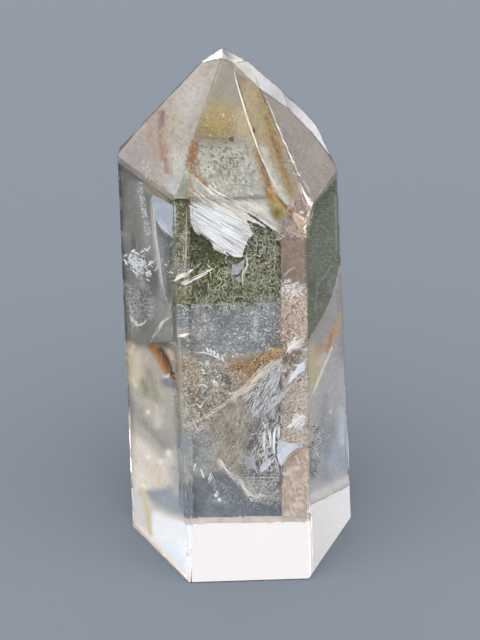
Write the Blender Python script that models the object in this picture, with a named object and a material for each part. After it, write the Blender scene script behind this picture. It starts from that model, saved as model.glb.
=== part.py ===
"""A polished smoky quartz point that stands on its cut base, modelled as one solid.

The crystal is cut from a block, one plane for each polished face: six sides that lean in a little
towards the top, the main facets of the tip, a rounded shoulder of narrow facets and a small blunt cap.
The broken corner under the narrow facet and the nicks along the ridge above it are taken out afterwards.
Metres, +Z up, the front face towards -Y, and the origin at the middle of the base.
"""

import math

import bmesh
import bpy
from mathutils import Matrix, Vector, noise

MM = 0.001

# The rough block that the crystal is cut from
BLOCK_WIDTH = 60 * MM
BLOCK_HEIGHT = 110 * MM

# Sides: the azimuth that each faces, its lean in degrees, and how far its foot is from the axis in mm
SIDES = {
    "left": (-148.7, 1.3, 17.2),
    "front": (-89.6, 2.2, 16.8),
    "right": (-25.4, 0.9, 16.7),
    "back_right": (22.8, 2.9, 17.5),
    "back": (90.0, 1.5, 16.6),
    "back_left": (149.4, 0.2, 17.0),
}

# Facets of the tip: the azimuth that each faces, how steeply its normal points up, and the height in mm
# at which its plane would cross the axis
FACETS = {
    "left": (-148.9, 32.7, 96.3),
    "front": (-89.9, 26.9, 99.6),
    "narrow": (-52.6, 31.2, 96.0),
    "right": (-29.6, 30.6, 95.8),
    "back": (88.0, 29.0, 94.3),
    "back_right": (40.0, 40.0, 90.3),
    "back_left": (146.7, 39.6, 92.8),
    "upper_right": (-12.0, 48.6, 90.0),
    "cap_left": (150.2, 68.1, 90.3),
    "cap_right": (22.6, 63.7, 89.0),
}

# The rounded shoulder at the back right, from its top facet to its lowest one
SHOULDER = {
    "top": (-5.5, 42.1, 90.6),
    "middle": (-3.6, 38.5, 91.8),
    "low": (-0.9, 33.5, 94.7),
}

# The broken corner where the front, the right side and the narrow facet meet. Each hollow has its middle
# in mm from the axis, its half sizes across, inwards and up, the azimuth it faces and its lean sideways
HOLLOWS = {
    "corner": ((9.7, -14.2, 67.6), (2.7, 1.5, 2.9), -66, -14),
    "front_lobe": ((7.3, -14.9, 66.2), (1.9, 0.9, 2.2), -88, 28),
    "side_lobe": ((11.8, -12.7, 67.3), (1.5, 0.8, 2.3), -28, 4),
    "top_lobe": ((9.8, -13.0, 69.5), (1.1, 0.7, 1.9), -62, -16),
    "front_step": ((8.7, -14.7, 65.4), (1.1, 0.7, 1.6), -86, 12),
    "low_splinter": ((10.1, -14.7, 64.9), (0.5, 0.6, 1.7), -70, 4),
    "left_splinter": ((6.6, -14.6, 64.9), (0.45, 0.5, 1.6), -88, 20),
    "side_splinter": ((11.1, -13.3, 65.3), (0.5, 0.6, 1.5), -40, -6),
}
HOLLOW_ROUGHNESS = 0.22
HOLLOW_GRAIN = 1.6

# Nicks along the ridge between the narrow and the right facet: the share of the way down the ridge,
# and the half length and half width in mm
RIDGE_TOP = Vector((4.5, -4.9, 85.1))
RIDGE_FOOT = Vector((11.7, -11.9, 68.7))
NICKS = {
    "top": (0.08, 0.5, 0.3),
    "upper": (0.30, 0.9, 0.4),
    "middle": (0.43, 0.7, 0.4),
    "long": (0.57, 1.3, 0.5),
    "lower": (0.70, 1.0, 0.5),
    "spike": (0.89, 2.5, 0.8),
}

# The stone: clear quartz with a faint smoky brown
QUARTZ_COLOUR = (0.86, 0.80, 0.76, 1.0)
QUARTZ_ROUGHNESS = 0.03
QUARTZ_IOR = 1.544


def clear_scene():
    for old in list(bpy.data.objects):
        bpy.data.objects.remove(old, do_unlink=True)


def direction(azimuth, rise):
    """The unit vector that faces an azimuth and points up by an angle, both in degrees."""
    a = math.radians(azimuth)
    r = math.radians(rise)
    return Vector((math.cos(r) * math.cos(a), math.cos(r) * math.sin(a), math.sin(r)))


def polish(mesh, point, normal):
    """Takes off everything outside one plane and closes the crystal with a flat face there."""
    everything = mesh.verts[:] + mesh.edges[:] + mesh.faces[:]
    cut = bmesh.ops.bisect_plane(
        mesh, geom=everything, dist=1e-7, plane_co=point, plane_no=normal, clear_outer=True
    )
    rim = [edge for edge in cut["geom_cut"] if isinstance(edge, bmesh.types.BMEdge)]
    bmesh.ops.holes_fill(mesh, edges=rim)


def cut_crystal():
    """The block with all its faces polished."""
    mesh = bmesh.new()
    size = Matrix.Diagonal((BLOCK_WIDTH, BLOCK_WIDTH, BLOCK_HEIGHT, 1))
    bmesh.ops.create_cube(mesh, size=1, matrix=Matrix.Translation((0, 0, BLOCK_HEIGHT / 2)) @ size)
    for azimuth, lean, foot in SIDES.values():
        polish(mesh, direction(azimuth, 0) * foot * MM, direction(azimuth, lean))
    for azimuth, rise, height in [*FACETS.values(), *SHOULDER.values()]:
        polish(mesh, Vector((0, 0, height * MM)), direction(azimuth, rise))
    return mesh


def middle_of_base(mesh):
    """The middle of the box that holds the crystal, on the level of its base."""
    xs = [vertex.co.x for vertex in mesh.verts]
    ys = [vertex.co.y for vertex in mesh.verts]
    return Vector(((min(xs) + max(xs)) / 2, (min(ys) + max(ys)) / 2, 0))


def add_object(name, mesh):
    bmesh.ops.recalc_face_normals(mesh, faces=mesh.faces[:])
    data = bpy.data.meshes.new(name)
    mesh.to_mesh(data)
    mesh.free()
    made = bpy.data.objects.new(name, data)
    bpy.context.scene.collection.objects.link(made)
    return made


def lumpy_ball(half_sizes, grain_at):
    """A ball with a lumpy skin, stretched to its half sizes in mm."""
    mesh = bmesh.new()
    bmesh.ops.create_icosphere(mesh, subdivisions=2, radius=1)
    for vertex in mesh.verts:
        vertex.co *= 1 + HOLLOW_ROUGHNESS * noise.noise(vertex.co * HOLLOW_GRAIN + grain_at)
    mesh.transform(Matrix.Diagonal((*[size * MM for size in half_sizes], 1)))
    return mesh


def hollow(middle, half_sizes, azimuth, lean):
    """A lumpy ball leaned sideways in its own face and turned to an azimuth."""
    mesh = lumpy_ball(half_sizes, Vector(middle))
    tilt = Matrix.Rotation(math.radians(lean), 4, "Y")
    turn = Matrix.Rotation(math.radians(azimuth + 90), 4, "Z")
    mesh.transform(Matrix.Translation(Vector(middle) * MM) @ turn @ tilt)
    return mesh


def nick(share, half_length, half_width):
    """A thin lens that lies along the ridge and takes a small flake off it."""
    middle = RIDGE_TOP.lerp(RIDGE_FOOT, share)
    mesh = lumpy_ball((half_width, half_width, half_length), middle)
    along = (RIDGE_TOP - RIDGE_FOOT).to_track_quat("Z", "Y").to_matrix().to_4x4()
    mesh.transform(Matrix.Translation(middle * MM) @ along)
    return mesh


def take_out(crystal, name, mesh, shift):
    """Cuts a shape out of the crystal, with the shape left in the scene as a hidden guide."""
    mesh.transform(Matrix.Translation(shift))
    cutter = add_object(name, mesh)
    cutter.hide_render = True
    cutter.display_type = "WIRE"
    cut = crystal.modifiers.new(name, "BOOLEAN")
    cut.operation = "DIFFERENCE"
    cut.solver = "EXACT"
    cut.object = cutter


def quartz():
    material = bpy.data.materials.new("smoky_quartz")
    material.use_nodes = True
    shader = material.node_tree.nodes["Principled BSDF"]
    shader.inputs["Base Color"].default_value = QUARTZ_COLOUR
    shader.inputs["Roughness"].default_value = QUARTZ_ROUGHNESS
    shader.inputs["Metallic"].default_value = 0.0
    shader.inputs["IOR"].default_value = QUARTZ_IOR
    shader.inputs["Transmission Weight"].default_value = 1.0
    return material


def main():
    clear_scene()
    mesh = cut_crystal()
    shift = -middle_of_base(mesh)
    mesh.transform(Matrix.Translation(shift))
    crystal = add_object("quartz_point", mesh)
    crystal.data.materials.append(quartz())
    for name, (middle, half_sizes, azimuth, lean) in HOLLOWS.items():
        take_out(crystal, f"hollow_{name}", hollow(middle, half_sizes, azimuth, lean), shift)
    for name, (share, half_length, half_width) in NICKS.items():
        take_out(crystal, f"nick_{name}", nick(share, half_length, half_width), shift)


main()
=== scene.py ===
import math

import bmesh
import bpy
import numpy as np
from mathutils import Matrix, Vector


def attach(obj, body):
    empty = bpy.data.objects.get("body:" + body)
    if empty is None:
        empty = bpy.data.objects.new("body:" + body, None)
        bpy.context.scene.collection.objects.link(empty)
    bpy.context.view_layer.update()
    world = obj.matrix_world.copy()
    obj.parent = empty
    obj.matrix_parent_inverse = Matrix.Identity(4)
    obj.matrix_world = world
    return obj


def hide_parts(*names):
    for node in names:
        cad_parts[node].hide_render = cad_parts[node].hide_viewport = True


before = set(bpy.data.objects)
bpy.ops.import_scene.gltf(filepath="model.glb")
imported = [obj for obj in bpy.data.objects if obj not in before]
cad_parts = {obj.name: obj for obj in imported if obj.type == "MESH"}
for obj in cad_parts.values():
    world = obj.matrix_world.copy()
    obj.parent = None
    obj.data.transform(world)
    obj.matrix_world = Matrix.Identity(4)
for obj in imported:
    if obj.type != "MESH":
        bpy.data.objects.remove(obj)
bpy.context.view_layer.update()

mm = 0.001
node = bpy.data.objects["quartz_point"]

# The camera stands where the photo was taken from
photo = {
    "width": 480,
    "height": 640,
    "focalPixels": 2000,
    "aim": (0.618, 0.135, 41.551),  # mm
    "pitch": 30.262,  # degrees that it looks down
    "roll": -1.568,
    "distance": 334.25,  # mm from the aim
    "sensor": 36,
}


def cameraAxes():
    # place of the lens in mm and the unit vectors to the right, up and back of the picture
    pitch, roll = math.radians(photo["pitch"]), math.radians(photo["roll"])
    back = np.array((0, -math.cos(pitch), math.sin(pitch)))
    level = np.array((1, 0, 0))
    tilted = np.array((0, math.sin(pitch), math.cos(pitch)))
    right = math.cos(roll) * level + math.sin(roll) * tilted
    up = math.cos(roll) * tilted - math.sin(roll) * level
    return np.array(photo["aim"]) + photo["distance"] * back, right, up, back


def placeCamera():
    lens, right, up, back = cameraAxes()
    data = bpy.data.cameras.new("photoCamera")
    data.sensor_width = photo["sensor"]
    data.lens = photo["focalPixels"] * photo["sensor"] / photo["height"]
    data.clip_start, data.clip_end = 0.01, 20
    made = bpy.data.objects.new("photoCamera", data)
    turn = Matrix((right, up, back)).transposed().to_4x4()
    made.matrix_world = Matrix.Translation(Vector(lens * mm)) @ turn
    bpy.context.scene.collection.objects.link(made)
    bpy.context.scene.camera = made
    print("camera placed")


# The studio: an even bright sky above, a little darker towards the horizon, and a pale table
studio = {
    "skyColour": (0.93, 0.96, 1.0, 1),
    "skyStrength": 1.35,
    "windowStrength": 10.5,
    "windowFront": (0.25, -0.35),  # y of the direction where the window starts and where it is full
    "windowHeight": (0.42, 0.66),  # and the same for z
    "dimFront": (-0.1, -0.5),  # the low sky in front that is dimmed, and how much of it is left
    "dimHeight": (0.50, 0.42),
    "dimStrength": 0.3,
    "horizonColour": (0.80, 0.82, 0.85, 1),
    "belowColour": (0.30, 0.31, 0.33, 1),
    "skyFrom": 0.34,  # sine of the height where the full sky starts
    "floorSize": 4.0,  # m
    "floorDrop": 0.3 * mm,  # air under the stone, so that its base mirrors
    "floorColour": (0.050, 0.057, 0.068, 1),
    "floorRoughness": 0.8,
    "bounces": 32,  # light is mirrored many times in a clear stone
    "transmissionBounces": 24,
    "glossyBounces": 16,
}


def product(nodes, links, first, second):
    # first times second, as a node
    both = nodes.new("ShaderNodeMath")
    both.operation = "MULTIPLY"
    links.new(first, both.inputs[0])
    links.new(second, both.inputs[1])
    return both.outputs[0]


def between(nodes, links, share, low, high):
    # a number that goes from low to high as share goes from 0 to 1
    span = nodes.new("ShaderNodeMapRange")
    span.inputs["To Min"].default_value, span.inputs["To Max"].default_value = low, high
    links.new(share, span.inputs["Value"])
    return span.outputs["Result"]


def softRegion(nodes, links, split, rims):
    # a part of the sky with soft rims: an S-shaped curve over y times one over z, each from 0 to 1
    sides = []
    for axis, rim in zip("YZ", rims):
        side = nodes.new("ShaderNodeMapRange")
        side.interpolation_type = "SMOOTHSTEP"
        side.inputs["From Min"].default_value, side.inputs["From Max"].default_value = studio[rim]
        links.new(split.outputs[axis], side.inputs["Value"])
        sides.append(side.outputs["Result"])
    return product(nodes, links, *sides)


def makeSky():
    world = bpy.data.worlds.new("softSky")
    world.use_nodes = True
    nodes, links = world.node_tree.nodes, world.node_tree.links
    nodes.clear()
    where = nodes.new("ShaderNodeTexCoord")
    split = nodes.new("ShaderNodeSeparateXYZ")
    ramp = nodes.new("ShaderNodeValToRGB")
    light = nodes.new("ShaderNodeBackground")
    out = nodes.new("ShaderNodeOutputWorld")
    links.new(where.outputs["Generated"], split.inputs[0])
    lift = nodes.new("ShaderNodeMapRange")  # the sine of the height, -1 to 1, as 0 to 1
    lift.inputs["From Min"].default_value = -1
    links.new(split.outputs["Z"], lift.inputs["Value"])
    links.new(lift.outputs["Result"], ramp.inputs["Fac"])
    stops = ramp.color_ramp.elements
    stops[0].position, stops[0].color = 0.0, studio["belowColour"]
    stops[1].position, stops[1].color = (1 + studio["skyFrom"]) / 2, studio["skyColour"]
    middle = stops.new(0.5)
    middle.color = studio["horizonColour"]
    links.new(ramp.outputs["Color"], light.inputs["Color"])
    # the window is a wide soft patch high up in front, and the low sky in front is dim, so that the facets
    # that mirror it show what lies under them
    window = softRegion(nodes, links, split, ("windowFront", "windowHeight"))
    hood = softRegion(nodes, links, split, ("dimFront", "dimHeight"))
    strength = between(nodes, links, window, studio["skyStrength"], studio["windowStrength"])
    dimming = between(nodes, links, hood, 1, studio["dimStrength"])
    links.new(product(nodes, links, strength, dimming), light.inputs["Strength"])
    links.new(light.outputs[0], out.inputs["Surface"])
    bpy.context.scene.world = world
    print("sky made")


def makeTable():
    half = studio["floorSize"] / 2
    corners = [(-half, -half), (half, -half), (half, half), (-half, half)]
    data = bpy.data.meshes.new("table")
    data.from_pydata([(x, y, -studio["floorDrop"]) for x, y in corners], [], [(0, 1, 2, 3)])
    floor = bpy.data.objects.new("table", data)
    bpy.context.scene.collection.objects.link(floor)
    finish = bpy.data.materials.new("paleTable")
    finish.use_nodes = True
    shader = finish.node_tree.nodes["Principled BSDF"]
    shader.inputs["Base Color"].default_value = studio["floorColour"]
    shader.inputs["Roughness"].default_value = studio["floorRoughness"]
    data.materials.append(finish)
    print("table made")


def followLight():
    # how often light is followed through the stone, and plain colours for the picture
    scene = bpy.context.scene
    scene.view_settings.view_transform = "Standard"
    scene.cycles.max_bounces = studio["bounces"]
    scene.cycles.transmission_bounces = studio["transmissionBounces"]
    scene.cycles.glossy_bounces = studio["glossyBounces"]


# The stone itself
stone = {
    "colour": (0.985, 0.975, 0.975, 1),
    "roughness": 0.008,
    "ior": 1.544,
    "smoke": (0.78, 0.72, 0.68, 1),  # what the smoky tint lets through most
    "smokeDensity": 26,  # per metre
    "edgeWidth": 0.09 * mm,
    "edgeSteps": 2,
    "edgeFrom": 3,  # degrees between polished faces
    "flatArea": 4.0,  # mm2, the smallest polished face
    "mergeWithin": 0.0001 * mm,
    "joinWithin": 0.3,  # degrees between triangles of one face
    "sharpFrom": 40,  # degrees between rough faces
}


def quartzMaterial():
    made = bpy.data.materials.new("smokyQuartz")
    made.use_nodes = True
    nodes, links = made.node_tree.nodes, made.node_tree.links
    shader = nodes["Principled BSDF"]
    shader.inputs["Base Color"].default_value = stone["colour"]
    shader.inputs["Roughness"].default_value = stone["roughness"]
    shader.inputs["IOR"].default_value = stone["ior"]
    shader.inputs["Transmission Weight"].default_value = 1.0
    smoke = nodes.new("ShaderNodeVolumeAbsorption")
    smoke.inputs["Color"].default_value = stone["smoke"]
    smoke.inputs["Density"].default_value = stone["smokeDensity"]
    links.new(smoke.outputs[0], nodes["Material Output"].inputs["Volume"])
    return made


def cutStone():
    # a merged copy of the node, its flat faces joined up, with a fine rounded edge between polished faces
    mesh = bmesh.new()
    mesh.from_mesh(node.data)
    bmesh.ops.remove_doubles(mesh, verts=mesh.verts[:], dist=stone["mergeWithin"])
    bmesh.ops.dissolve_limit(
        mesh, angle_limit=math.radians(stone["joinWithin"]), verts=mesh.verts[:], edges=mesh.edges[:],
        use_dissolve_boundaries=False,
    )
    bmesh.ops.recalc_face_normals(mesh, faces=mesh.faces[:])
    weight = mesh.edges.layers.float.new("bevel_weight_edge")
    large = stone["flatArea"] * mm * mm
    for edge in mesh.edges:
        polished = all(face.calc_area() > large for face in edge.link_faces)
        edge[weight] = 1.0 if polished and edge.calc_face_angle(0) > math.radians(stone["edgeFrom"]) else 0.0
        rough = all(face.calc_area() < large for face in edge.link_faces)
        edge.smooth = rough and edge.calc_face_angle(0) < math.radians(stone["sharpFrom"])
    for face in mesh.faces:
        face.smooth = face.calc_area() < large
    data = bpy.data.meshes.new("crystal")
    mesh.to_mesh(data)
    mesh.free()
    made = bpy.data.objects.new("crystal", data)
    bpy.context.scene.collection.objects.link(made)
    rounding = made.modifiers.new("edges", "BEVEL")
    rounding.limit_method = "WEIGHT"
    rounding.width = stone["edgeWidth"]
    rounding.segments = stone["edgeSteps"]
    data.materials.append(quartzMaterial())
    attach(made, "root")
    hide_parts("quartz_point")
    print("stone cut:", len(data.polygons), "faces")


# Sight lines: what lies inside the stone is placed where the photo shows it, behind the polish that the
# sight line through a photo pixel enters, bent as quartz bends it, at a depth in mm along the bent line
sight = {
    "normalSteps": 200,  # faces in one plane agree to a 200th in their normals
    "distanceSteps": 5,  # and to a fifth of a mm in their distances
    "entering": 0.02,  # sine of the flattest angle to a plane that is entered
    "leaving": 0.01,
    "slack": 0.01,  # mm
    "farthest": 11 / 12,  # share of the way to the far side
}


def polishedPlanes():
    # the outward normals and distances in mm of all the large flat faces
    data = node.data
    count = len(data.polygons)
    normals, areas, centres = np.empty(count * 3), np.empty(count), np.empty(count * 3)
    data.polygons.foreach_get("normal", normals)
    data.polygons.foreach_get("area", areas)
    data.polygons.foreach_get("center", centres)
    normals, centres = normals.reshape(-1, 3), centres.reshape(-1, 3) / mm
    distances = np.einsum("ij,ij->i", normals, centres)
    keys = np.round(np.column_stack((normals * sight["normalSteps"], distances * sight["distanceSteps"])))
    which = np.unique(keys, axis=0, return_inverse=True)[1].ravel()
    total = np.bincount(which, areas)
    large = total > stone["flatArea"] * mm * mm
    sums = np.column_stack([np.bincount(which, areas * part) for part in (*normals.T, distances)])
    planes = sums[large] / total[large, None]
    return planes / np.linalg.norm(planes[:, :3], axis=1)[:, None]


planes = polishedPlanes()
print("polished planes:", len(planes))


def enter(u, v):
    # where the sight lines through photo pixels meet the polish, their direction inside, and the way left:
    # the entry is the last front plane that is met, and the sine of the angle shrinks by the IOR there
    lens, right, up, back = cameraAxes()
    across = (np.asarray(u, float)[..., None] - photo["width"] / 2) / photo["focalPixels"]
    down = (np.asarray(v, float)[..., None] - photo["height"] / 2) / photo["focalPixels"]
    ray = across * right - down * up - back
    ray = ray / np.linalg.norm(ray, axis=-1, keepdims=True)
    normals, distances = planes[:, :3], planes[:, 3]
    facing = ray @ normals.T
    reach = (distances - normals @ lens) / np.where(facing == 0, 1, facing)
    meets = np.where(facing < -sight["entering"], reach, -np.inf)
    first = np.argmax(meets, axis=-1)
    way = np.take_along_axis(meets, first[..., None], -1)
    normal = normals[first]
    cosine = -np.sum(ray * normal, axis=-1, keepdims=True)
    ratio = 1 / stone["ior"]
    bent = ratio * ray + (ratio * cosine - np.sqrt(1 - ratio**2 * (1 - cosine**2))) * normal
    point = lens + way * ray
    leaving = bent @ normals.T
    left = (distances - point @ normals.T) / np.where(leaving == 0, 1, leaving)
    return point, bent, np.min(np.where(leaving > sight["leaving"], left, np.inf), axis=-1)


def onStone(u, v):
    # whether sight lines meet the stone: the entry point lies behind all the planes
    point = enter(u, v)[0]
    return np.all(point @ planes[:, :3].T - planes[:, 3] < sight["slack"], axis=-1)


def inside(u, v, depth):
    # points in the stone: the entry plus a depth in mm along the bent line, kept off the far side
    point, bent, left = enter(u, v)
    return point + np.minimum(depth, left * sight["farthest"])[..., None] * bent


# Patterns, as functions of whole arrays of photo pixels
lattice = 64  # cells before a noise repeats
noiseCells = {  # in pixels
    "wander": 7,  # the noise that bends a net
    "fade": 9,  # the one that thins it
    "ragged": 6,  # the one that frays an outline
    "wave": 40,  # the one that a layer's depths follow
    "skinWave": 30,  # and the one that a skin's depths follow
}


def softNoise(x, y, seed):
    # value noise from 0 to 1: random heights on a lattice of unit cells, blended with an S-shaped curve
    heights = np.random.default_rng(seed).random((lattice, lattice))
    column, row = np.floor(x).astype(int), np.floor(y).astype(int)
    s, t = x - column, y - row
    s, t = s * s * (3 - 2 * s), t * t * (3 - 2 * t)
    row, column = row % lattice, column % lattice
    below, beside = (row + 1) % lattice, (column + 1) % lattice
    near = heights[row, column] * (1 - s) + heights[row, beside] * s
    far = heights[below, column] * (1 - s) + heights[below, beside] * s
    return near * (1 - t) + far * t


def cloudNoise(x, y, seed):
    # four octaves of the soft noise, each half as strong and twice as fine as the last
    octaves = [softNoise(x * 2**k + 17 * k, y * 2**k + 31 * k, seed + k) / 2**k for k in range(4)]
    return sum(octaves) / (1 + 1 / 2 + 1 / 4 + 1 / 8)


def turned(u, v, angle):
    # pixel coordinates along and across a direction, given in degrees below the picture's horizontal
    a = math.radians(angle)
    return u * math.cos(a) + v * math.sin(a), v * math.cos(a) - u * math.sin(a)


def netNoise(u, v, cell, seed):
    # the width in pixels, at each point, from the nearest border between the cells of jittered seeds:
    # half the difference between the distances to the nearest seed and the next nearest
    rng = np.random.default_rng(seed)
    jitter = rng.random((2, lattice, lattice))
    x, y = u / cell, v / cell
    column, row = np.floor(x).astype(int), np.floor(y).astype(int)
    away = []
    for i, j in [(i, j) for i in (-1, 0, 1) for j in (-1, 0, 1)]:
        shift = jitter[:, (row + j) % lattice, (column + i) % lattice]
        away.append(np.hypot(column + i + shift[0] - x, row + j + shift[1] - y))
    nearest = np.sort(np.stack(away), axis=0)
    return (nearest[1] - nearest[0]) / 2 * cell


def within(u, v, outline):
    # whether pixels lie inside an outline: an upward line from each crosses its sides an odd number of times
    corners = np.array(outline, float)
    following = np.roll(corners, -1, axis=0)
    u, v = np.asarray(u)[..., None], np.asarray(v)[..., None]
    spans = (corners[:, 0] > u) != (following[:, 0] > u)
    run = following[:, 0] - corners[:, 0]
    run = np.where(run == 0, 1e-9, run)
    height = corners[:, 1] + (u - corners[:, 0]) / run * (following[:, 1] - corners[:, 1])
    return np.sum(spans & (v < height), axis=-1) % 2 == 1


def paint(red, green, blue):
    # a colour as seen on a screen, 0 to 255, in the linear numbers that shaders use
    seen = np.array((red, green, blue)) / 255
    return np.where(seen < 0.04045, seen / 12.92, ((seen + 0.055) / 1.055) ** 2.4)


# Shapes
crumbCorners = np.array(((1, 0, 0), (-1, 0, 0), (0, 1, 0), (0, -1, 0), (0, 0, 1), (0, 0, -1)), float)
crumbFaces = np.array(
    ((0, 2, 4), (2, 1, 4), (1, 3, 4), (3, 0, 4), (2, 0, 5), (1, 2, 5), (3, 1, 5), (0, 3, 5))
)


def randomTurns(count, rng):
    # evenly spread rotations, from unit quaternions
    draws = rng.normal(size=(4, count))
    w, x, y, z = draws / np.linalg.norm(draws, axis=0)
    rows = (
        (1 - 2 * (y * y + z * z), 2 * (x * y - z * w), 2 * (x * z + y * w)),
        (2 * (x * y + z * w), 1 - 2 * (x * x + z * z), 2 * (y * z - x * w)),
        (2 * (x * z - y * w), 2 * (y * z + x * w), 1 - 2 * (x * x + y * y)),
    )
    return np.array(rows).transpose(2, 0, 1)


def crumbs(centres, sizes, flatness, rng):
    # octahedra: six corners stretched to each crumb's half sizes in mm, turned at random and moved
    count = len(centres)
    stretch = np.stack((sizes, sizes * rng.uniform(0.45, 1, count), sizes * flatness), 1)
    corners = crumbCorners[None] * stretch[:, None]
    corners = np.einsum("nij,nkj->nki", randomTurns(count, rng), corners) + centres[:, None]
    faces = crumbFaces[None] + len(crumbCorners) * np.arange(count)[:, None, None]
    return corners.reshape(-1, 3), faces.reshape(-1, 3)


def ribbons(paths, widths, sides):
    # a ring of corners is carried along each path, across its direction and broad side to the viewer, half as
    # thick as wide; widths gives its radius at each step in mm, and both ends are closed
    flatness = 0.5
    count, steps = paths.shape[:2]
    back = cameraAxes()[3]
    along = np.gradient(paths, axis=1)
    along = along / (np.linalg.norm(along, axis=-1, keepdims=True) + 1e-9)
    across = np.cross(back, along)
    across = across / (np.linalg.norm(across, axis=-1, keepdims=True) + 1e-9)
    third = np.cross(along, across)
    angle = np.arange(sides) * 2 * math.pi / sides
    ring = np.cos(angle)[:, None] * across[:, :, None] + flatness * np.sin(angle)[:, None] * third[:, :, None]
    corners = paths[:, :, None] + widths[:, :, None, None] * ring
    k = np.arange(sides)
    here, there = k, (k + 1) % sides
    wall = np.array([(here, there, there + sides), (here, there + sides, here + sides)])
    wall = wall.transpose(0, 2, 1).reshape(-1, 3)
    walls = (wall[None] + sides * np.arange(steps - 1)[:, None, None]).reshape(-1, 3)
    fan = np.array([(0, j, j + 1) for j in range(1, sides - 1)])
    faces = np.concatenate((walls, fan[:, ::-1], fan + sides * (steps - 1)))
    faces = faces[None] + sides * steps * np.arange(count)[:, None, None]
    return corners.reshape(-1, 3), faces.reshape(-1, 3)


mottling = {
    "scale": 900,  # per metre
    "detail": 3,
    "middle": (0.3, 0.7),  # the part of the noise that is stretched to the full mottle
}


def mineral(name, roughness, mottle, shine=0.05):
    # the finish of an inclusion: its own tints, times a noise on object coordinates from 1 - mottle to 1
    made = bpy.data.materials.new(name)
    made.use_nodes = True
    nodes, links = made.node_tree.nodes, made.node_tree.links
    shader = nodes["Principled BSDF"]
    shader.inputs["Roughness"].default_value = roughness
    shader.inputs["Specular IOR Level"].default_value = shine
    where = nodes.new("ShaderNodeTexCoord")
    noise = nodes.new("ShaderNodeTexNoise")
    noise.inputs["Scale"].default_value = mottling["scale"]
    noise.inputs["Detail"].default_value = mottling["detail"]
    links.new(where.outputs["Object"], noise.inputs["Vector"])
    span = nodes.new("ShaderNodeMapRange")
    span.inputs["From Min"].default_value, span.inputs["From Max"].default_value = mottling["middle"]
    span.inputs["To Min"].default_value, span.inputs["To Max"].default_value = 1 - mottle, 1
    links.new(noise.outputs["Fac"], span.inputs["Value"])
    tint = nodes.new("ShaderNodeAttribute")
    tint.attribute_name = "tint"
    mix = nodes.new("ShaderNodeVectorMath")
    mix.operation = "MULTIPLY"
    links.new(tint.outputs["Color"], mix.inputs[0])
    links.new(span.outputs["Result"], mix.inputs[1])
    links.new(mix.outputs["Vector"], shader.inputs["Base Color"])
    return made


def addPiece(name, parts, material):
    # joins parts of (corners in mm, faces, tints of the corners) in one object that rides with the stone
    starts = np.cumsum([0] + [len(corners) for corners, faces, tints in parts[:-1]])
    corners = np.concatenate([part[0] for part in parts])
    faces = np.concatenate([part[1] + start for part, start in zip(parts, starts)])
    tints = np.concatenate([part[2] for part in parts])
    data = bpy.data.meshes.new(name)
    data.from_pydata(corners * mm, [], faces)
    layer = data.attributes.new("tint", "FLOAT_COLOR", "POINT")
    layer.data.foreach_set("color", np.column_stack((tints, np.ones(len(tints)))).ravel())
    data.materials.append(material)
    made = bpy.data.objects.new(name, data)
    bpy.context.scene.collection.objects.link(made)
    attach(made, "root")
    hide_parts("quartz_point")
    print(name, "made:", len(faces), "faces")


def pickTints(tints, count, rng):
    # one tint for each of count shapes, blended at random between neighbours in the list
    colours = np.array([paint(*tint) for tint in tints])
    place = rng.random(count) * (len(colours) - 1)
    low = np.minimum(place.astype(int), max(len(colours) - 2, 0))
    high = np.minimum(low + 1, len(colours) - 1)
    return colours[low] + (place - low)[:, None] * (colours[high] - colours[low])


def density(setting, u, v):
    # how thickly a pattern lies at each pixel, from 0 to 1: a bell curve over the distance to a net's
    # borders, a long or a round noise with its middle stretched, or 1 everywhere
    pattern = setting.get("pattern", "even")
    size = setting.get("patch", 14)
    seed = setting["seed"]
    if pattern == "net":
        bend = 5  # pixels
        du = (softNoise(u / noiseCells["wander"], v / noiseCells["wander"], seed + 3) - 0.5) * bend
        dv = (softNoise(u / noiseCells["wander"], v / noiseCells["wander"], seed + 4) - 0.5) * bend
        border = netNoise(u + du, v + dv, setting["cell"], seed)
        fade = 0.35 + 0.65 * softNoise(u / noiseCells["fade"], v / noiseCells["fade"], seed + 5)
        return np.exp(-((border / setting["line"]) ** 2)) * fade
    if pattern == "streaks":
        along, across = turned(u, v, setting["angle"])
        return np.clip(cloudNoise(along / setting["run"], across / size, seed) * 2.4 - 0.7, 0, 1)
    if pattern == "patchy":
        return np.clip(cloudNoise(u / size, v / size, seed) * 3 - 1.0 + setting.get("fill", 0), 0, 1)
    return np.ones_like(u)


def outlineOf(setting):
    # the corners of a part's outline, which may be the name of a zone
    outline = setting["outline"]
    return np.array(zones[outline] if isinstance(outline, str) else outline, float)


def lineDistance(u, v, start, stop):
    # the distance in pixels to the nearest of the straight pieces from start to stop: to the nearest point of
    # each, which lies a share from 0 to 1 along it
    run = stop - start
    u, v = np.asarray(u)[..., None], np.asarray(v)[..., None]
    share = ((u - start[:, 0]) * run[:, 0] + (v - start[:, 1]) * run[:, 1]) / np.sum(run**2, axis=1)
    share = np.clip(share, 0, 1)
    return np.hypot(u - start[:, 0] - share * run[:, 0], v - start[:, 1] - share * run[:, 1]).min(axis=-1)


def rimDistance(u, v, outline):
    # the distance in pixels to the nearest side of an outline
    return lineDistance(u, v, outline, np.roll(outline, -1, axis=0))


def thickness(setting, u, v):
    # the pattern's density inside the outline, which is ragged by a noise and thins out towards its rim
    ragged, soft = setting.get("ragged", 3), setting.get("soft", 3)
    seed, outline = setting["seed"], outlineOf(setting)
    x = u + ragged * (softNoise(u / noiseCells["ragged"], v / noiseCells["ragged"], seed + 6) - 0.5) * 2
    y = v + ragged * (softNoise(u / noiseCells["ragged"], v / noiseCells["ragged"], seed + 7) - 0.5) * 2
    rim = np.clip(rimDistance(x, y, outline) / max(soft, 0.01), 0, 1)
    return density(setting, u, v) * rim * within(x, y, outline)


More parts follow.
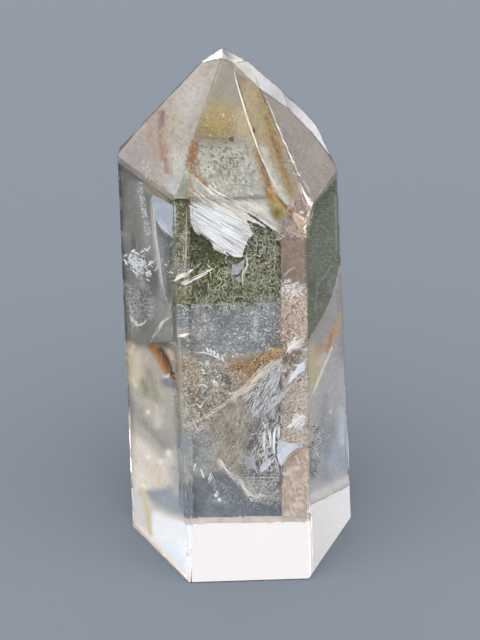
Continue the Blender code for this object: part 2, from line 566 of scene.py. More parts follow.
def places(setting, rng):
    # pixels drawn at random where the pattern is thick: of many tries, those that it lets through
    margin, tries = 3, 14
    outline = outlineOf(setting)
    low, high = outline.min(0) - margin, outline.max(0) + margin
    u, v = rng.uniform(low[:, None], high[:, None], (2, setting["count"] * tries))
    keep = rng.random(u.shape) < thickness(setting, u, v)
    return u[keep][: setting["count"]], v[keep][: setting["count"]]


def depthAt(setting, share):
    # a depth in mm between the nearest and the farthest of a layer
    near, far = setting["depth"]
    return near + (far - near) * share


def depthWave(setting, u, v):
    # the slow noise, from 0 to 1, that a layer's depths follow
    return cloudNoise(u / noiseCells["wave"], v / noiseCells["wave"], setting["seed"] + 9)


def cornerTints(setting, count, corners, rng):
    # a tint for each of count shapes, the same for all its corners
    return np.repeat(pickTints(setting["tints"], count, rng), corners, axis=0)


def scatter(setting):
    # crumbs spread over an outline in the photo, as thickly as the pattern says, on a waving sheet of depths
    rng = np.random.default_rng(setting["seed"])
    u, v = places(setting, rng)
    blur = setting.get("blur", 0.0)
    u, v = u + rng.normal(0, 1, u.shape) * blur, v + rng.normal(0, 1, v.shape) * blur
    keep = onStone(u, v)
    u, v = u[keep], v[keep]
    share = 0.65 * depthWave(setting, u, v) + 0.35 * rng.random(u.shape)
    centres = inside(u, v, depthAt(setting, share))
    small, large = setting["size"]
    sizes = small + (large - small) * rng.random(len(u)) ** 2
    corners, faces = crumbs(centres, sizes, setting.get("flat", 0.4), rng)
    return corners, faces, cornerTints(setting, len(u), len(crumbCorners), rng)


def worms(setting):
    # short threads that wander: their headings add up small random turns from step to step, and their widths
    # follow half a sine wave, thin at both ends
    rng = np.random.default_rng(setting["seed"])
    u, v = places(setting, rng)
    count, steps = len(u), setting.get("steps", 5)
    spread = setting.get("spread", 180)
    heading = np.radians(setting.get("heading", 0) + rng.uniform(-spread, spread, (count, 1)))
    heading = heading + np.cumsum(rng.normal(0, setting.get("wriggle", 0.7), (count, steps)), axis=1)
    stride = rng.uniform(*setting["length"], (count, 1)) / steps
    u = u[:, None] + np.cumsum(np.cos(heading) * stride, axis=1)
    v = v[:, None] + np.cumsum(np.sin(heading) * stride, axis=1)
    keep = np.all(onStone(u, v), axis=1)
    u, v, count = u[keep], v[keep], np.sum(keep)
    share = 0.7 * depthWave(setting, u, v) + 0.3 * rng.random((count, 1))
    paths = inside(u, v, depthAt(setting, share))
    taper = np.sin(np.linspace(0.12, 0.9, steps) * math.pi) ** 0.7
    widths = rng.uniform(*setting["width"], (count, 1)) * taper
    corners, faces = ribbons(paths, widths, sides=3)
    return corners, faces, cornerTints(setting, count, 3 * steps, rng)


def web(setting):
    # a net of thin cracks, each a wavy ribbon: the sides of a shaken brick wall. Its corners lie 0.6 of a
    # cell apart in rows 0.9 of a cell apart, shaken by up to a third of a cell; each is joined to the one on
    # its right, and every second one to the one below
    rng = np.random.default_rng(setting["seed"])
    outline, cell, steps = outlineOf(setting), setting["cell"], 5
    low, high = outline.min(0) - cell, outline.max(0) + cell
    columns, rows = np.arange(low[0], high[0], 0.6 * cell), np.arange(low[1], high[1], 0.9 * cell)
    corners = np.stack(np.meshgrid(columns, rows), -1)
    row, column = np.indices(corners.shape[:2])
    corners = corners + rng.uniform(-0.34, 0.34, corners.shape) * cell
    below = ((row + column) % 2 == 0)[:-1]
    start = np.concatenate((corners[:, :-1].reshape(-1, 2), corners[:-1][below]))
    stop = np.concatenate((corners[:, 1:].reshape(-1, 2), corners[1:][below]))
    middle = (start + stop) / 2
    keep = rng.random(len(start)) < setting.get("share", 1) * thickness(setting, *middle.T)
    start, run = start[keep], (stop - start)[keep]
    place = np.linspace(0, 1, steps)
    bend = rng.normal(0, 0.2, (len(run), 1)) * np.sin(place * math.pi)
    bend = bend + rng.normal(0, 0.05, (len(run), steps))
    u = start[:, :1] + run[:, :1] * place - run[:, 1:] * bend
    v = start[:, 1:] + run[:, 1:] * place + run[:, :1] * bend
    paths = inside(u, v, depthAt(setting, depthWave(setting, u, v)))
    widths = rng.uniform(*setting["width"], (len(run), 1)) * rng.uniform(0.6, 1, u.shape)
    whole = np.all(onStone(u, v), axis=1)
    corners, faces = ribbons(paths[whole], widths[whole], sides=3)
    return corners, faces, cornerTints(setting, np.sum(whole), 3 * steps, rng)


def strokes(setting):
    # ribbons drawn along a curve of pixels, each copy a little to the side of it and over its own stretch;
    # their widths follow half a sine wave
    rng = np.random.default_rng(setting["seed"])
    points = np.array(setting["curve"], float)
    count, steps = setting["copies"], setting.get("steps", 14)
    lengths = np.concatenate(([0], np.cumsum(np.hypot(*np.diff(points, axis=0).T))))
    start = rng.uniform(0, setting["stagger"], (count, 1))
    stop = 1 - rng.uniform(0, setting["stagger"], (count, 1))
    place = (start + (stop - start) * np.linspace(0, 1, steps)) * lengths[-1]
    u, v = (np.interp(place, lengths, points[:, axis]) for axis in (0, 1))
    side = rng.normal(0, setting["spread"], (2, count, 1))
    wobble = setting.get("wobble", 0.6)  # pixels that a noise along the stroke moves it
    u = u + side[0] + wobble * (softNoise(place / 9, side[1] * 3 + 40, setting["seed"]) - 0.5)
    v = v + side[1] + wobble * (softNoise(place / 9, side[0] * 3 + 40, setting["seed"] + 1) - 0.5)
    paths = inside(u, v, depthAt(setting, np.linspace(0, 1, steps)) + np.zeros((count, 1)))
    taper = np.sin(np.linspace(0.04, 0.96, steps) * math.pi) ** 0.5
    widths = rng.uniform(*setting["width"], (count, 1)) * taper
    corners, faces = ribbons(paths, widths, sides=4)
    return corners, faces, cornerTints(setting, count, 4 * steps, rng)


def veil(setting):
    # a porous skin: a grid over an outline in the photo, at waving depths, with the cells left out where the
    # pattern is thin; its tints are a function that gives the tint for each corner from its pixel
    rng = np.random.default_rng(setting["seed"])
    outline = outlineOf(setting)
    low, high = outline.min(0), outline.max(0)
    step = setting["step"]
    u, v = np.meshgrid(np.arange(low[0], high[0] + step, step), np.arange(low[1], high[1] + step, step))
    rows, columns = u.shape
    cover = thickness(setting, u + step / 2, v + step / 2)
    keep = (cover > 0.01) & (rng.random(u.shape) * 0.3 < cover - setting.get("holes", 0.1))
    keep &= onStone(u, v) & onStone(u + step, v + step) & onStone(u + step, v) & onStone(u, v + step)
    keep[-1], keep[:, -1] = False, False
    shake = 0.25 * step
    u, v = u + rng.uniform(-shake, shake, u.shape), v + rng.uniform(-shake, shake, v.shape)
    hit = onStone(u, v)
    keep[:-1, :-1] &= hit[:-1, :-1] & hit[:-1, 1:] & hit[1:, 1:] & hit[1:, :-1]
    wave = cloudNoise(u / noiseCells["skinWave"], v / noiseCells["skinWave"], setting["seed"] + 9)
    top = depthAt(setting, wave) + rng.random(u.shape) * setting.get("bumps", 0.05)
    top = top + setting.get("lean", 0) * (high[1] - v)
    thick = 0.05  # mm
    front, behind = inside(u, v, top), inside(u, v, top + thick)
    # cells that an edge of the stone tears apart are left out
    wide = np.linalg.norm(np.diff(front, axis=1), axis=-1)[:-1]
    tall = np.linalg.norm(np.diff(front, axis=0), axis=-1)[:, :-1]
    keep[:-1, :-1] &= np.maximum(wide, tall) < setting.get("tear", 0.9) * step
    # the cells that stay, and walls where a neighbour is missing
    corner = np.arange(rows * columns).reshape(rows, columns)
    a, b, c, d = corner[:-1, :-1], corner[:-1, 1:], corner[1:, 1:], corner[1:, :-1]
    stays = keep[:-1, :-1]
    padded = np.pad(stays, 1)
    above, right, below, left = padded[:-2, 1:-1], padded[1:-1, 2:], padded[2:, 1:-1], padded[1:-1, :-2]
    back = rows * columns
    quads = [np.stack((a, d, c, b), -1)[stays], np.stack((a, b, c, d), -1)[stays] + back]
    for neighbour, p, q in ((above, a, b), (right, b, c), (below, c, d), (left, d, a)):
        quads.append(np.stack((p, q, q + back, p + back), -1)[stays & ~neighbour])
    quads = np.concatenate(quads)
    faces = np.concatenate((quads[:, [0, 1, 2]], quads[:, [0, 2, 3]]))
    used, faces = np.unique(faces, return_inverse=True)
    corners = np.concatenate((front.reshape(-1, 3), behind.reshape(-1, 3)))[used]
    tints = setting["tints"](u.ravel(), v.ravel())
    tints = np.concatenate((tints, tints))[used]
    return corners, faces.reshape(-1, 3), tints


def series(maker, look, parts, seed):
    # one part for each named entry, with seeds counted up from the first
    return [maker(look | part | {"seed": seed + place}) for place, part in enumerate(parts.values())]


placeCamera()
makeSky()
makeTable()
followLight()
cutStone()

# Depths under the faces that many layers share, in mm
atSkin = (0.15, 0.25)
closeUnder = (0.3, 0.5)
overSheets = (0.4, 1.1)  # in front of the painted sheets


def blend(base, tint, amount):
    # lays one tint over others by an amount from 0 to 1 at each point
    amount = np.clip(amount, 0, 1)[:, None]
    return base * (1 - amount) + paint(*tint) * amount


def layered(ground, layers):
    # one tint under others, each laid over the last by its amount at each point
    base = paint(*ground)
    for tint, amount in layers:
        base = blend(base, tint, amount)
    return base


def spot(u, v, centre, radii, angle=0):
    # a soft round patch: a bell curve over the distance from its centre, in radii
    along, across = turned(u - centre[0], v - centre[1], angle)
    return np.exp(-((along / radii[0]) ** 2) - (across / radii[1]) ** 2)


def streak(u, v, curve, width):
    # a soft line: a bell curve over the distance to the nearest piece of a curve of pixels
    points = np.array(curve, float)
    return np.exp(-((lineDistance(u, v, points[:-1], points[1:]) / width) ** 2))


def grained(base, u, v, seed, amount):
    # a fine grain: each tint times 1 plus or minus a noise of about two pixels
    grain = cloudNoise(u / 2.2, v / 2.2, seed) - 0.5
    return np.clip(base * (1 + 2 * amount * grain[:, None]), 0, 1)


def plainTints(*tints, patch=5, crack=None, grain=0.2):
    # tints blended by a noise, from the first to the last, under a net of thin lines given by the size of its
    # cells, its tint and its strength
    def tintAt(u, v):
        share = np.clip(cloudNoise(u / patch, v / patch, 28) * 2.2 - 0.6, 0, 1) * (len(tints) - 1)
        base = layered(tints[0], [(tint, share - place) for place, tint in enumerate(tints[1:])])
        if crack:
            cell, tint, strength = crack
            shift = 4 * softNoise(u / 5, v / 5, 29)
            line = np.exp(-((netNoise(u + shift, v - shift, cell, 30) / 0.6) ** 2))
            base = blend(base, tint, strength * line)
        return grained(base, u, v, seed=31, amount=grain)
    return tintAt


# The veils close under the tip's facets: milky ones, and painted reflection and glare on its right and caps
tipVeil = {
    "pattern": "patchy", "patch": 5, "fill": 0.95, "soft": 0.5, "ragged": 0.3, "holes": 0.05, "tear": 5,
    "step": 1.0,
}


def leftTints(u, v):
    # grey marble with paler streaks, rusty pink lines from the top, and dark dots on the right
    grain = np.clip(2.6 * cloudNoise(u / 2.2, v / 4, 21) - 0.7, 0, 1.3)
    along, across = turned(u, v, 105)
    marble = 0.5 + cloudNoise(along / 7, across / 2, 20)
    dots = (cloudNoise(u / 1.6, v / 2.4, 19) > 0.66) * spot(u, v, (178, 138), (12, 20))
    base = layered((152, 143, 131), [
        ((142, 132, 126), spot(u, v, (132, 156), (26, 18), -35) * 1.3),
        ((170, 166, 157), spot(u, v, (190, 98), (11, 32), 22) * marble),
        ((157, 144, 121), spot(u, v, (174, 119), (9, 12)) * 0.9),
        ((172, 170, 160), spot(u, v, (177, 158), (9, 20), 15) * marble),
        ((156, 156, 156), spot(u, v, (170, 188), (14, 8)) * 1.2),
        ((146, 133, 112), spot(u, v, (205, 72), (14, 5), -48) * 0.6),
        ((148, 130, 106), spot(u, v, (160, 142), (8, 20)) * 0.9 * grain),
        ((146, 116, 92), streak(u, v, [(158, 107), (148, 122), (150, 138), (153, 153)], 2.6) * grain * 1.3),
        ((138, 100, 76), streak(u, v, [(162, 112), (161, 130), (164, 160), (169, 172)], 3.4) * grain * 1.3),
        ((146, 124, 92), streak(u, v, [(150, 176), (160, 184), (170, 194), (174, 200)], 2) * grain),
        ((100, 80, 82), spot(u, v, (162, 117), (3.4, 8)) * grain * 1.3),
        ((104, 88, 64), dots * 0.6),
    ])
    return grained(base, u, v, seed=18, amount=0.3)


def frontTints(u, v):
    # pale grey; above a wavy line a brown shade, partly painted shadow: the dark floor under the stone seen
    # through the top; with it a golden patch; pepper and rusty lines along both sides
    grain = np.clip(2.4 * cloudNoise(u / 2.2, v / 2.2, 22) - 0.4, 0, 1.3)
    above = 1 / (1 + np.exp((v - 137 + 4 * (softNoise(u / 9, v / 9, 27) - 0.5)) / 0.9))
    patchy = np.clip(cloudNoise(u / 6, v / 6, 12) * 3 - 0.4, 0, 1)
    pepper = (cloudNoise(u / 1.8, v / 2.2, 24) > 0.6) * spot(u, v, (222, 160), (38, 26))
    notch = within(u, v, [(183, 172), (188.5, 180), (189, 197), (174.5, 197)])
    base = layered((154, 152, 140), [
        ((108, 93, 64), (1 - above) * spot(u, v, (218, 139), (36, 9)) * 0.9),
        ((170, 169, 158), spot(u, v, (212, 176), (22, 14)) * grain),
        ((143, 143, 137), spot(u, v, (248, 178), (10, 12))),
        # partly painted shadow: the brown shade above the wavy line
        ((102, 91, 72), above),
        ((116, 107, 90), above * spot(u, v, (230, 98), (6, 12))),
        ((106, 92, 66), above * streak(u, v, [(221, 62), (201, 122)], 4.5)),
        ((134, 113, 38), above * np.clip(spot(u, v, (219, 119), (14, 16)) * 1.7, 0, 1) * patchy),
        ((140, 112, 2), above * spot(u, v, (221, 130), (15, 7)) * grain * 1.2),
        ((112, 91, 14), above * spot(u, v, (203, 131), (13, 7)) * 1.1),
        ((148, 134, 98), above * np.clip(spot(u, v, (244, 123), (8, 16)) * 1.5, 0, 1)),
        ((90, 66, 30), streak(u, v, [(190, 138), (232, 138.5)], 1.2) * 0.8 * grain),
        ((118, 68, 2), spot(u, v, (192.5, 153), (4.4, 13), 8) * grain * 2.2),
        ((132, 92, 34), streak(u, v, [(189, 162), (194, 173), (206, 185)], 2) * grain * 1.2),
        ((96, 82, 50), pepper),
        ((126, 96, 44), streak(u, v, [(190, 180), (194, 193), (203, 201)], 1.5) * grain * 0.7),
        ((112, 68, 8), streak(u, v, [(256, 148), (263, 170), (271, 194)], 2.8) * grain * 1.8),
        ((140, 122, 88), streak(u, v, [(252, 140), (258, 165), (264, 190)], 4) * grain * 0.7),
        ((128, 104, 60), streak(u, v, [(190, 170), (190, 198)], 1.3) * 0.7 * grain),
        ((120, 120, 106), notch * 0.95),
    ])
    return grained(base, u, v, seed=17, amount=0.35)


def narrowTints(u, v):
    # olive brown, darker at the top, with a pale left edge and rusty lines down the middle
    grain = np.clip(2.4 * cloudNoise(u / 2.2, v / 2.2, 23) - 0.4, 0, 1.3)
    rust = streak(u, v, [(258, 88), (267, 118), (278, 148), (291, 190)], 4.0)
    base = layered((143, 128, 95), [
        ((115, 101, 72), spot(u, v, (242, 76), (9, 16), 60) * 1.2),
        ((162, 161, 153), streak(u, v, [(262, 150), (268, 168), (288, 208)], 5) * 1.1),
        ((130, 106, 62), rust * grain * 1.1),
        ((118, 84, 26), streak(u, v, [(266, 118), (275, 146), (284, 172)], 1.6) * grain),
        ((136, 126, 112), streak(u, v, [(286, 154), (301, 200)], 4.0)),
    ])
    return grained(base, u, v, seed=16, amount=0.35)


def rightReflectionTints(u, v):
    # painted reflection in the right facet: brown grey, a little paler in the middle of the facet
    base = layered((131, 120, 110), [
        ((144, 132, 121), spot(u, v, (318, 160), (12, 22), 20) * 1.2),
        ((124, 113, 104), cloudNoise(u / 9, v / 9, 26) * 0.8),
    ])
    return grained(base, u, v, seed=15, amount=0.25)


def capGlareTints(u, v):
    # painted highlight: the right cap facet brightens to the right, as the glare on it does
    return layered((124, 117, 108), [((214, 205, 190), (u - 227) / 10)])


def shoulderReflectionTints(u, v):
    # painted reflection of the sky: lavender white, darkest near the top facet and brightest at the far
    # corner
    base = layered((178, 173, 172), [
        ((152, 149, 152), spot(u, v, (279, 94), (9, 9))),
        ((226, 221, 220), (u - 288) / 26),
    ])
    return grained(base, u, v, seed=14, amount=0.2)


tipVeils = {
    "left_veil": {
        "whole": dict(
            outline=[(114, 158), (114, 160), (173.5, 201.5), (175, 199), (222, 58), (202, 57)],
            depth=(0.3, 0.9), tints=leftTints,
        ),
    },
    "front_veil": {
        "whole": dict(
            outline=[(173, 199), (221.8, 57.5), (231.5, 61.5), (268, 172), (275, 196)], depth=(0.3, 1.0),
            tints=frontTints,
        ),
    },
    "narrow_veil": {
        "whole": dict(
            outline=[(232, 62), (259, 88), (285, 148), (304, 194), (296, 204), (286, 206), (274, 194)],
            depth=(0.3, 0.9), tints=narrowTints,
        ),
    },
    # painted reflection: the mauve grey that the right facet mirrors
    "right_reflection_veil": {
        "whole": dict(
            outline=[
                (260, 88), (287, 106), (312, 132), (338, 170), (340, 173), (312, 208), (301, 195), (282, 143),
            ],
            depth=(0.3, 0.9), fill=1, tints=rightReflectionTints,
        ),
    },
    # painted glare and painted reflection of the sky: pale sheets close under the small facets of the tip
    "painted_cap_glare": {
        # painted highlight: the blown white glare on the left cap
        "left": dict(
            outline=[(199, 63), (222, 57.8), (222.4, 43)], depth=(0.2, 0.4), step=0.8,
            tints=plainTints((255, 255, 252), (244, 242, 236), grain=0),
        ),
        # painted highlight on the right cap
        "right": dict(
            outline=[(222.6, 47), (250, 60), (233, 62.5), (222.6, 57.6)], depth=(0.2, 0.4), step=0.8,
            tints=capGlareTints,
        ),
        # painted reflection: the grey brightness of the middle cap
        "middle": dict(
            outline=[(232, 62.3), (249.5, 61.3), (259.5, 88)], depth=(0.2, 0.4), step=0.8,
            tints=plainTints((178, 174, 166), (160, 156, 149), grain=0.1),
        ),
        # painted reflection of the sky on the shoulder band
        "shoulder": dict(
            outline=[
                (248.5, 60), (266, 75), (284, 88), (305, 107), (323, 128), (339, 166), (312, 132.5),
                (287, 107), (260, 89),
            ],
            depth=(0.2, 0.5), fill=1, step=0.9, tints=shoulderReflectionTints,
        ),
    },
}
for place, (name, sheets) in enumerate(tipVeils.items()):
    sheetParts = series(veil, tipVeil, sheets, seed=11 + place)
    addPiece(name, sheetParts, mineral(name + "Finish", roughness=0.6, mottle=0.05))

# The feather under the front face's top: bright strokes on silky sheets
silver = [(255, 255, 255), (226, 226, 226)]
featherLook = {"width": (0.03, 0.13), "depth": (0.25, 0.5), "stagger": 0.5, "tints": silver}
feather = {
    "upper": dict(curve=[(192, 202), (208, 210), (228, 220), (252, 231)], copies=34, spread=3.0),
    "middle": dict(curve=[(192, 212), (206, 221), (226, 233), (247, 244)], copies=54, spread=3.6),
    "lower": dict(curve=[(194, 221), (208, 231), (224, 244), (241, 255)], copies=36, spread=2),
    "creamTop": dict(
        curve=[(196, 186), (214, 202), (236, 214), (258, 224)], copies=34, width=(0.02, 0.08), spread=5,
        tints=[(252, 248, 240), (214, 206, 194)],
    ),
    "darkGaps": dict(
        curve=[(196, 190), (212, 206), (232, 219), (248, 230)], copies=16, width=(0.02, 0.05),
        depth=(0.4, 0.8), spread=5, tints=[(120, 104, 76), (150, 140, 120)],
    ),
    "corner": dict(
        curve=[(154, 214), (162, 226), (171, 236)], copies=12, width=(0.02, 0.07), depth=(0.5, 0.8),
        spread=1.6, tints=[(255, 255, 255), (206, 214, 222)],
    ),
}
featherParts = series(strokes, featherLook, feather, seed=31)
addPiece("feather", featherParts, mineral("silkFeather", roughness=0.35, shine=0.4, mottle=0.1))


def silkTints(u, v):
    # white silk, creamy at the top right, with darker streaks along it and a rusty line at its left end
    along, across = turned(u, v, 32)
    base = layered((234, 234, 232), [
        ((232, 228, 218), spot(u, v, (256, 206), (26, 20)) * 1.3),
        ((188, 182, 166), np.clip(cloudNoise(along / 16, across / 1.6, 38) * 2.4 - 0.9, 0, 1)),
        ((164, 124, 70), streak(u, v, [(190, 192), (203, 201), (212, 208)], 1.8) * 0.8),
    ])
    return grained(base, u, v, seed=39, amount=0.12)


def oliveTints(u, v):
    # a straw patch with a dark edge on its right, an olive spot low down and a rusty one at the top
    base = layered((172, 154, 108), [
        ((92, 68, 44), streak(u, v, [(276, 193), (284, 203), (292, 213)], 2.4)),
        ((120, 104, 46), spot(u, v, (277, 213), (4, 5))),
        ((160, 108, 44), spot(u, v, (270, 194), (3.5, 8), -12)),
    ])
    return grained(base, u, v, seed=34, amount=0.35)


def breakTints(u, v):
    # cream skin of the broken corner, darker to the right
    base = layered((194, 176, 158), [((146, 127, 110), np.clip((u - 284) / 16, 0, 1))])
    return grained(base, u, v, seed=35, amount=0.3)


silkLook = {"depth": (0.4, 1.0), "holes": -0.3, "step": 1.0}
silkSheets = {
    "streaky": dict(
        outline=[
            (189, 193), (276, 193), (283, 210), (284, 238), (275, 234), (266, 227), (256, 223), (248, 220),
            (251, 232), (247, 244), (243, 257), (228, 254), (215, 251), (212, 243), (203, 235), (192, 228),
        ],
        pattern="streaks", patch=2.2, angle=32, run=30, soft=0.5, ragged=2, lean=0.02, tear=6,
        tints=silkTints,
    ),
    "corner": dict(
        outline=[(152, 195), (173, 204), (173, 239), (166, 232), (156, 220)], depth=(0.6, 1), soft=0.5,
        ragged=1, tints=plainTints((196, 203, 212), (176, 184, 194), grain=0.1),
    ),
    "olive": dict(
        outline=[(267, 186), (276, 193), (294, 215), (286, 215), (277, 222), (270, 211)], depth=closeUnder,
        soft=0.8, ragged=0.8, tear=6, tints=oliveTints,
    ),
    "brokenCorner": dict(
        outline=[
            (276, 240), (281, 224), (292, 212), (303, 196), (312, 205), (310, 222), (303, 238), (290, 233),
        ],
        depth=(0.7, 1.2), soft=1, tear=4, tints=breakTints,
    ),
}
silkParts = series(veil, silkLook, silkSheets, seed=36)
addPiece("silk_sheets", silkParts, mineral("silkSheet", roughness=0.45, mottle=0.05))

# Tints that many layers share
white = [(255, 255, 255), (224, 224, 220)]
cream = [(250, 238, 222), (206, 186, 166)]
mossy = [(232, 230, 208), (180, 180, 152)]
pinkish = [(255, 250, 246), (240, 224, 214)]

# The zones of the body, as outlines in photo pixels
zones = {
    "leftTop": [(116, 158), (140, 176), (173, 199), (175.5, 240), (179.6, 342), (116, 342)],
    "leftLow": [(120, 341), (179.6, 341), (182.6, 420), (184.8, 470), (188.4, 580), (124, 516)],
    "leftFront": [(174, 198), (190, 198), (191, 308), (178, 308)],
    "net": [
        (190, 226), (206, 231), (222, 243), (240, 252), (245, 236), (246, 214), (262, 216), (278, 226),
        (281, 240), (281, 303), (262, 305), (240, 301), (222, 305), (190, 310),
    ],
    "netRight": [
        (226, 256), (246, 250), (250, 224), (274, 230), (281, 240), (281, 305), (222, 307), (196, 308),
    ],
    "middle": [(178, 304), (281, 302), (281, 345), (262, 354), (215, 358), (179, 350)],
    "frontLow": [
        (179.2, 347), (215, 355), (262, 351), (282, 344), (283, 440), (283, 518), (186.4, 519), (182.6, 420),
    ],
    "leftMilk": [(126, 346), (180, 346), (183, 420), (184, 474), (152, 492), (132, 486)],
    "heart": [(182, 354), (212, 358), (248, 374), (242, 394), (218, 414), (200, 434), (183, 436)],
    "grain": [(242, 408), (256, 406), (258, 462), (240, 476), (224, 482), (236, 462), (244, 440)],
    "folds": [(262, 366), (286, 352), (284, 396), (256, 414), (246, 404), (252, 386)],
    "ribs": [(258, 412), (284, 398), (281, 466), (252, 464)],
    "shell": [(240, 468), (256, 460), (282, 466), (282, 500), (262, 498), (246, 490)],
    "stripTop": [(281, 232), (306.2, 230), (306.6, 287), (281, 287)],
    "stripWorms": [(281, 284), (306.6, 284), (307, 346), (281, 346)],
    "stripMiddle": [(281, 344), (307, 344), (307.4, 384), (282, 386)],
    "stripSpeckle": [(283, 382), (307.2, 376), (307.8, 446), (280, 444)],
    "stripCream": [(283, 462), (290, 452), (307.8, 446), (308.4, 516), (282, 517)],
    "rightTop": [
        (306, 208), (312, 206), (340, 174), (343, 262), (338, 268), (334, 288), (326, 310), (318, 325),
        (306.4, 343),
    ],
    "rightLow": [
        (306.4, 343), (318, 325), (326, 310), (334, 288), (338, 268), (343, 262), (350, 300), (356, 440),
        (357, 486), (346, 488), (330, 496), (308.6, 507), (307.2, 400),
    ],
}


def painted(ground, fields, marks, seed, gain, grain):
    # one tint under soft fields of (tint, softness, outline), then under strokes of (tint, strength, width,
    # curve), all in pixels and mottled by a noise; gain makes up for the shade inside the stone
    def tintAt(u, v):
        wave = cloudNoise(u / 4, v / 4, seed)
        x, y = u + 4 * (wave - 0.5), v + 4 * (wave - 0.5)
        layers = []
        for tint, soft, outline in fields:
            corners = np.array(outline, float)
            rim = rimDistance(x, y, corners) * np.where(within(x, y, corners), 1, -1)
            layers.append((tint, 0.5 + rim / soft))
        for tint, strength, width, curve in marks:
            layers.append((tint, strength * (0.6 + 0.8 * wave) * streak(u, v, curve, width)))
        base = layered(ground, layers)
        return np.clip(gain * grained(base, u, v, seed=seed + 1, amount=grain), 0, 1)
    return tintAt


# The smoky left face, with a paler middle
leftTopTints = painted((124, 123, 114), [], [
    ((106, 102, 92), 1, 6, [(120, 185), (121, 215)]),
    ((186, 178, 152), 1.2, 5, [(146, 184), (158, 192), (168, 200)]),
    ((190, 190, 184), 1, 1.8, [(152, 200), (154, 235), (158, 262), (162, 288)]),
    ((92, 90, 82), 1, 2.6, [(162, 244), (165, 262), (170, 296)]),
    ((92, 88, 78), 0.9, 3, [(132, 236), (134, 250)]),
    ((176, 174, 168), 1, 4, [(138, 268), (142, 284)]),
    ((196, 196, 190), 1, 4, [(172, 308), (166, 322)]),
    ((140, 138, 126), 0.8, 4, [(121, 226), (128, 238)]),
    ((150, 151, 145), 1, 4.5, [(138, 184), (143, 208), (148, 236)]),
    ((160, 158, 150), 0.8, 5, [(148, 222), (148, 250)]),
    ((172, 168, 152), 1, 5, [(148, 186), (164, 202)]),
    ((172, 172, 168), 1, 3, [(153, 205), (155, 238), (157, 262)]),
    ((116, 120, 116), 1, 4, [(164, 226), (168, 250), (171, 262)]),
    ((150, 152, 151), 0.9, 4, [(160, 240), (163, 268), (162, 300)]),
    ((110, 106, 96), 1, 4.5, [(154, 276), (153, 300)]),
    ((112, 108, 100), 0.9, 4, [(145, 300), (147, 316)]),
    ((148, 143, 132), 0.8, 6, [(134, 285), (135, 330)]),
    ((150, 147, 138), 1, 9, [(160, 308), (166, 334)]),
    ((170, 170, 166), 0.8, 3, [(152, 300), (150, 316)]),
], seed=51, gain=1.2, grain=0.1)

# The low left, out of the photo's focus: gold, a rusty flame, a grey painted shadow, and at the bottom cream
# and white, a painted reflection of the base
leftLowTints = painted((176, 170, 157), [
    ((211, 203, 191), 8, [
        (118, 428), (132, 432), (150, 446), (163, 462), (166, 448), (174, 448), (175, 484), (162, 492),
        (118, 494),
    ]),
    # painted shadow: the blue-grey zone above the base
    ((139, 146, 152), 8, [
        (140, 492), (172, 486), (178, 462), (196, 466), (196, 518), (182, 517), (160, 507),
    ]),
    # painted reflection of the base: pale grey, then white below it
    ((196, 194, 188), 6, [
        (118, 492), (146, 494), (154, 508), (170, 514), (192, 520), (192, 545), (118, 545),
    ]),
    ((226, 226, 226), 6, [
        (154, 512), (170, 518), (192, 524), (192, 585), (124, 585), (124, 526), (150, 530),
    ]),
], [
    ((198, 182, 155), 1.2, 9, [(126, 346), (130, 372)]),
    ((203, 189, 168), 1, 5, [(138, 354), (136, 378)]),
    ((228, 214, 190), 0.9, 2.2, [(134, 345), (131, 352)]),
    ((216, 206, 186), 0.9, 2.4, [(131, 378), (136, 386)]),
    ((168, 156, 138), 0.8, 5, [(148, 366), (150, 374)]),
    ((194, 181, 158), 0.8, 2, [(141, 368), (148, 356), (153, 350)]),
    ((190, 177, 156), 0.7, 2.2, [(148, 362), (156, 382), (163, 396)]),
    ((126, 120, 106), 0.8, 3, [(157, 342), (164, 345), (172, 347)]),
    ((172, 120, 50), 1.5, 4, [(152, 347), (160, 357), (167, 370)]),
    ((122, 72, 10), 1.6, 3.2, [(160, 350), (166, 360), (170, 369), (174, 378)]),
    ((84, 40, 0), 1.2, 1.4, [(161, 349), (168, 361), (173, 376)]),
    ((216, 184, 140), 1.1, 1.6, [(169, 350), (173, 360)]),
    ((124, 127, 130), 1.4, 4, [(166, 382), (175, 385)]),
    ((142, 139, 112), 1, 4.5, [(144, 382), (146, 395)]),
    ((150, 146, 128), 0.9, 4, [(150, 372), (154, 392), (160, 404)]),
    ((156, 159, 160), 1, 6, [(127, 402), (134, 410)]),
    ((150, 147, 142), 0.9, 8, [(132, 408), (146, 420), (160, 434), (170, 444)]),
    ((134, 130, 122), 0.7, 3, [(140, 420), (152, 432), (164, 446)]),
    ((196, 192, 182), 1, 5, [(158, 408), (158, 424)]),
    ((186, 179, 164), 0.8, 4, [(146, 402), (152, 416)]),
    ((152, 150, 142), 0.9, 4, [(177, 402), (179, 440)]),
    ((166, 166, 164), 1, 3, [(179, 455), (180, 476)]),
    ((206, 190, 162), 0.7, 5, [(148, 463), (156, 472), (160, 484)]),
    ((176, 172, 166), 0.9, 5, [(173, 468), (176, 492)]),
    ((238, 231, 222), 1.4, 1.9, [(148, 457), (148.5, 457)]),
    ((240, 234, 228), 1.4, 1.9, [(161, 461), (161.5, 462)]),
    ((240, 234, 224), 1.4, 1.9, [(168.5, 452), (168.5, 453)]),
    ((230, 222, 208), 1.2, 2.4, [(141, 474), (141, 475)]),
    ((232, 220, 198), 1.2, 2.4, [(143, 486), (144, 487)]),
    ((240, 236, 226), 1.4, 1.6, [(148, 412), (148, 412.5)]),
    ((198, 182, 146), 1.1, 2.4, [(142, 490), (147, 508), (150, 533)]),
    # painted reflection of the base: a bluish and a cream stroke
    ((206, 216, 226), 0.8, 8, [(168, 546), (180, 560)]),
    ((206, 196, 186), 0.8, 6, [(134, 524), (160, 552), (186, 578)]),
], seed=53, gain=1.35, grain=0.03)
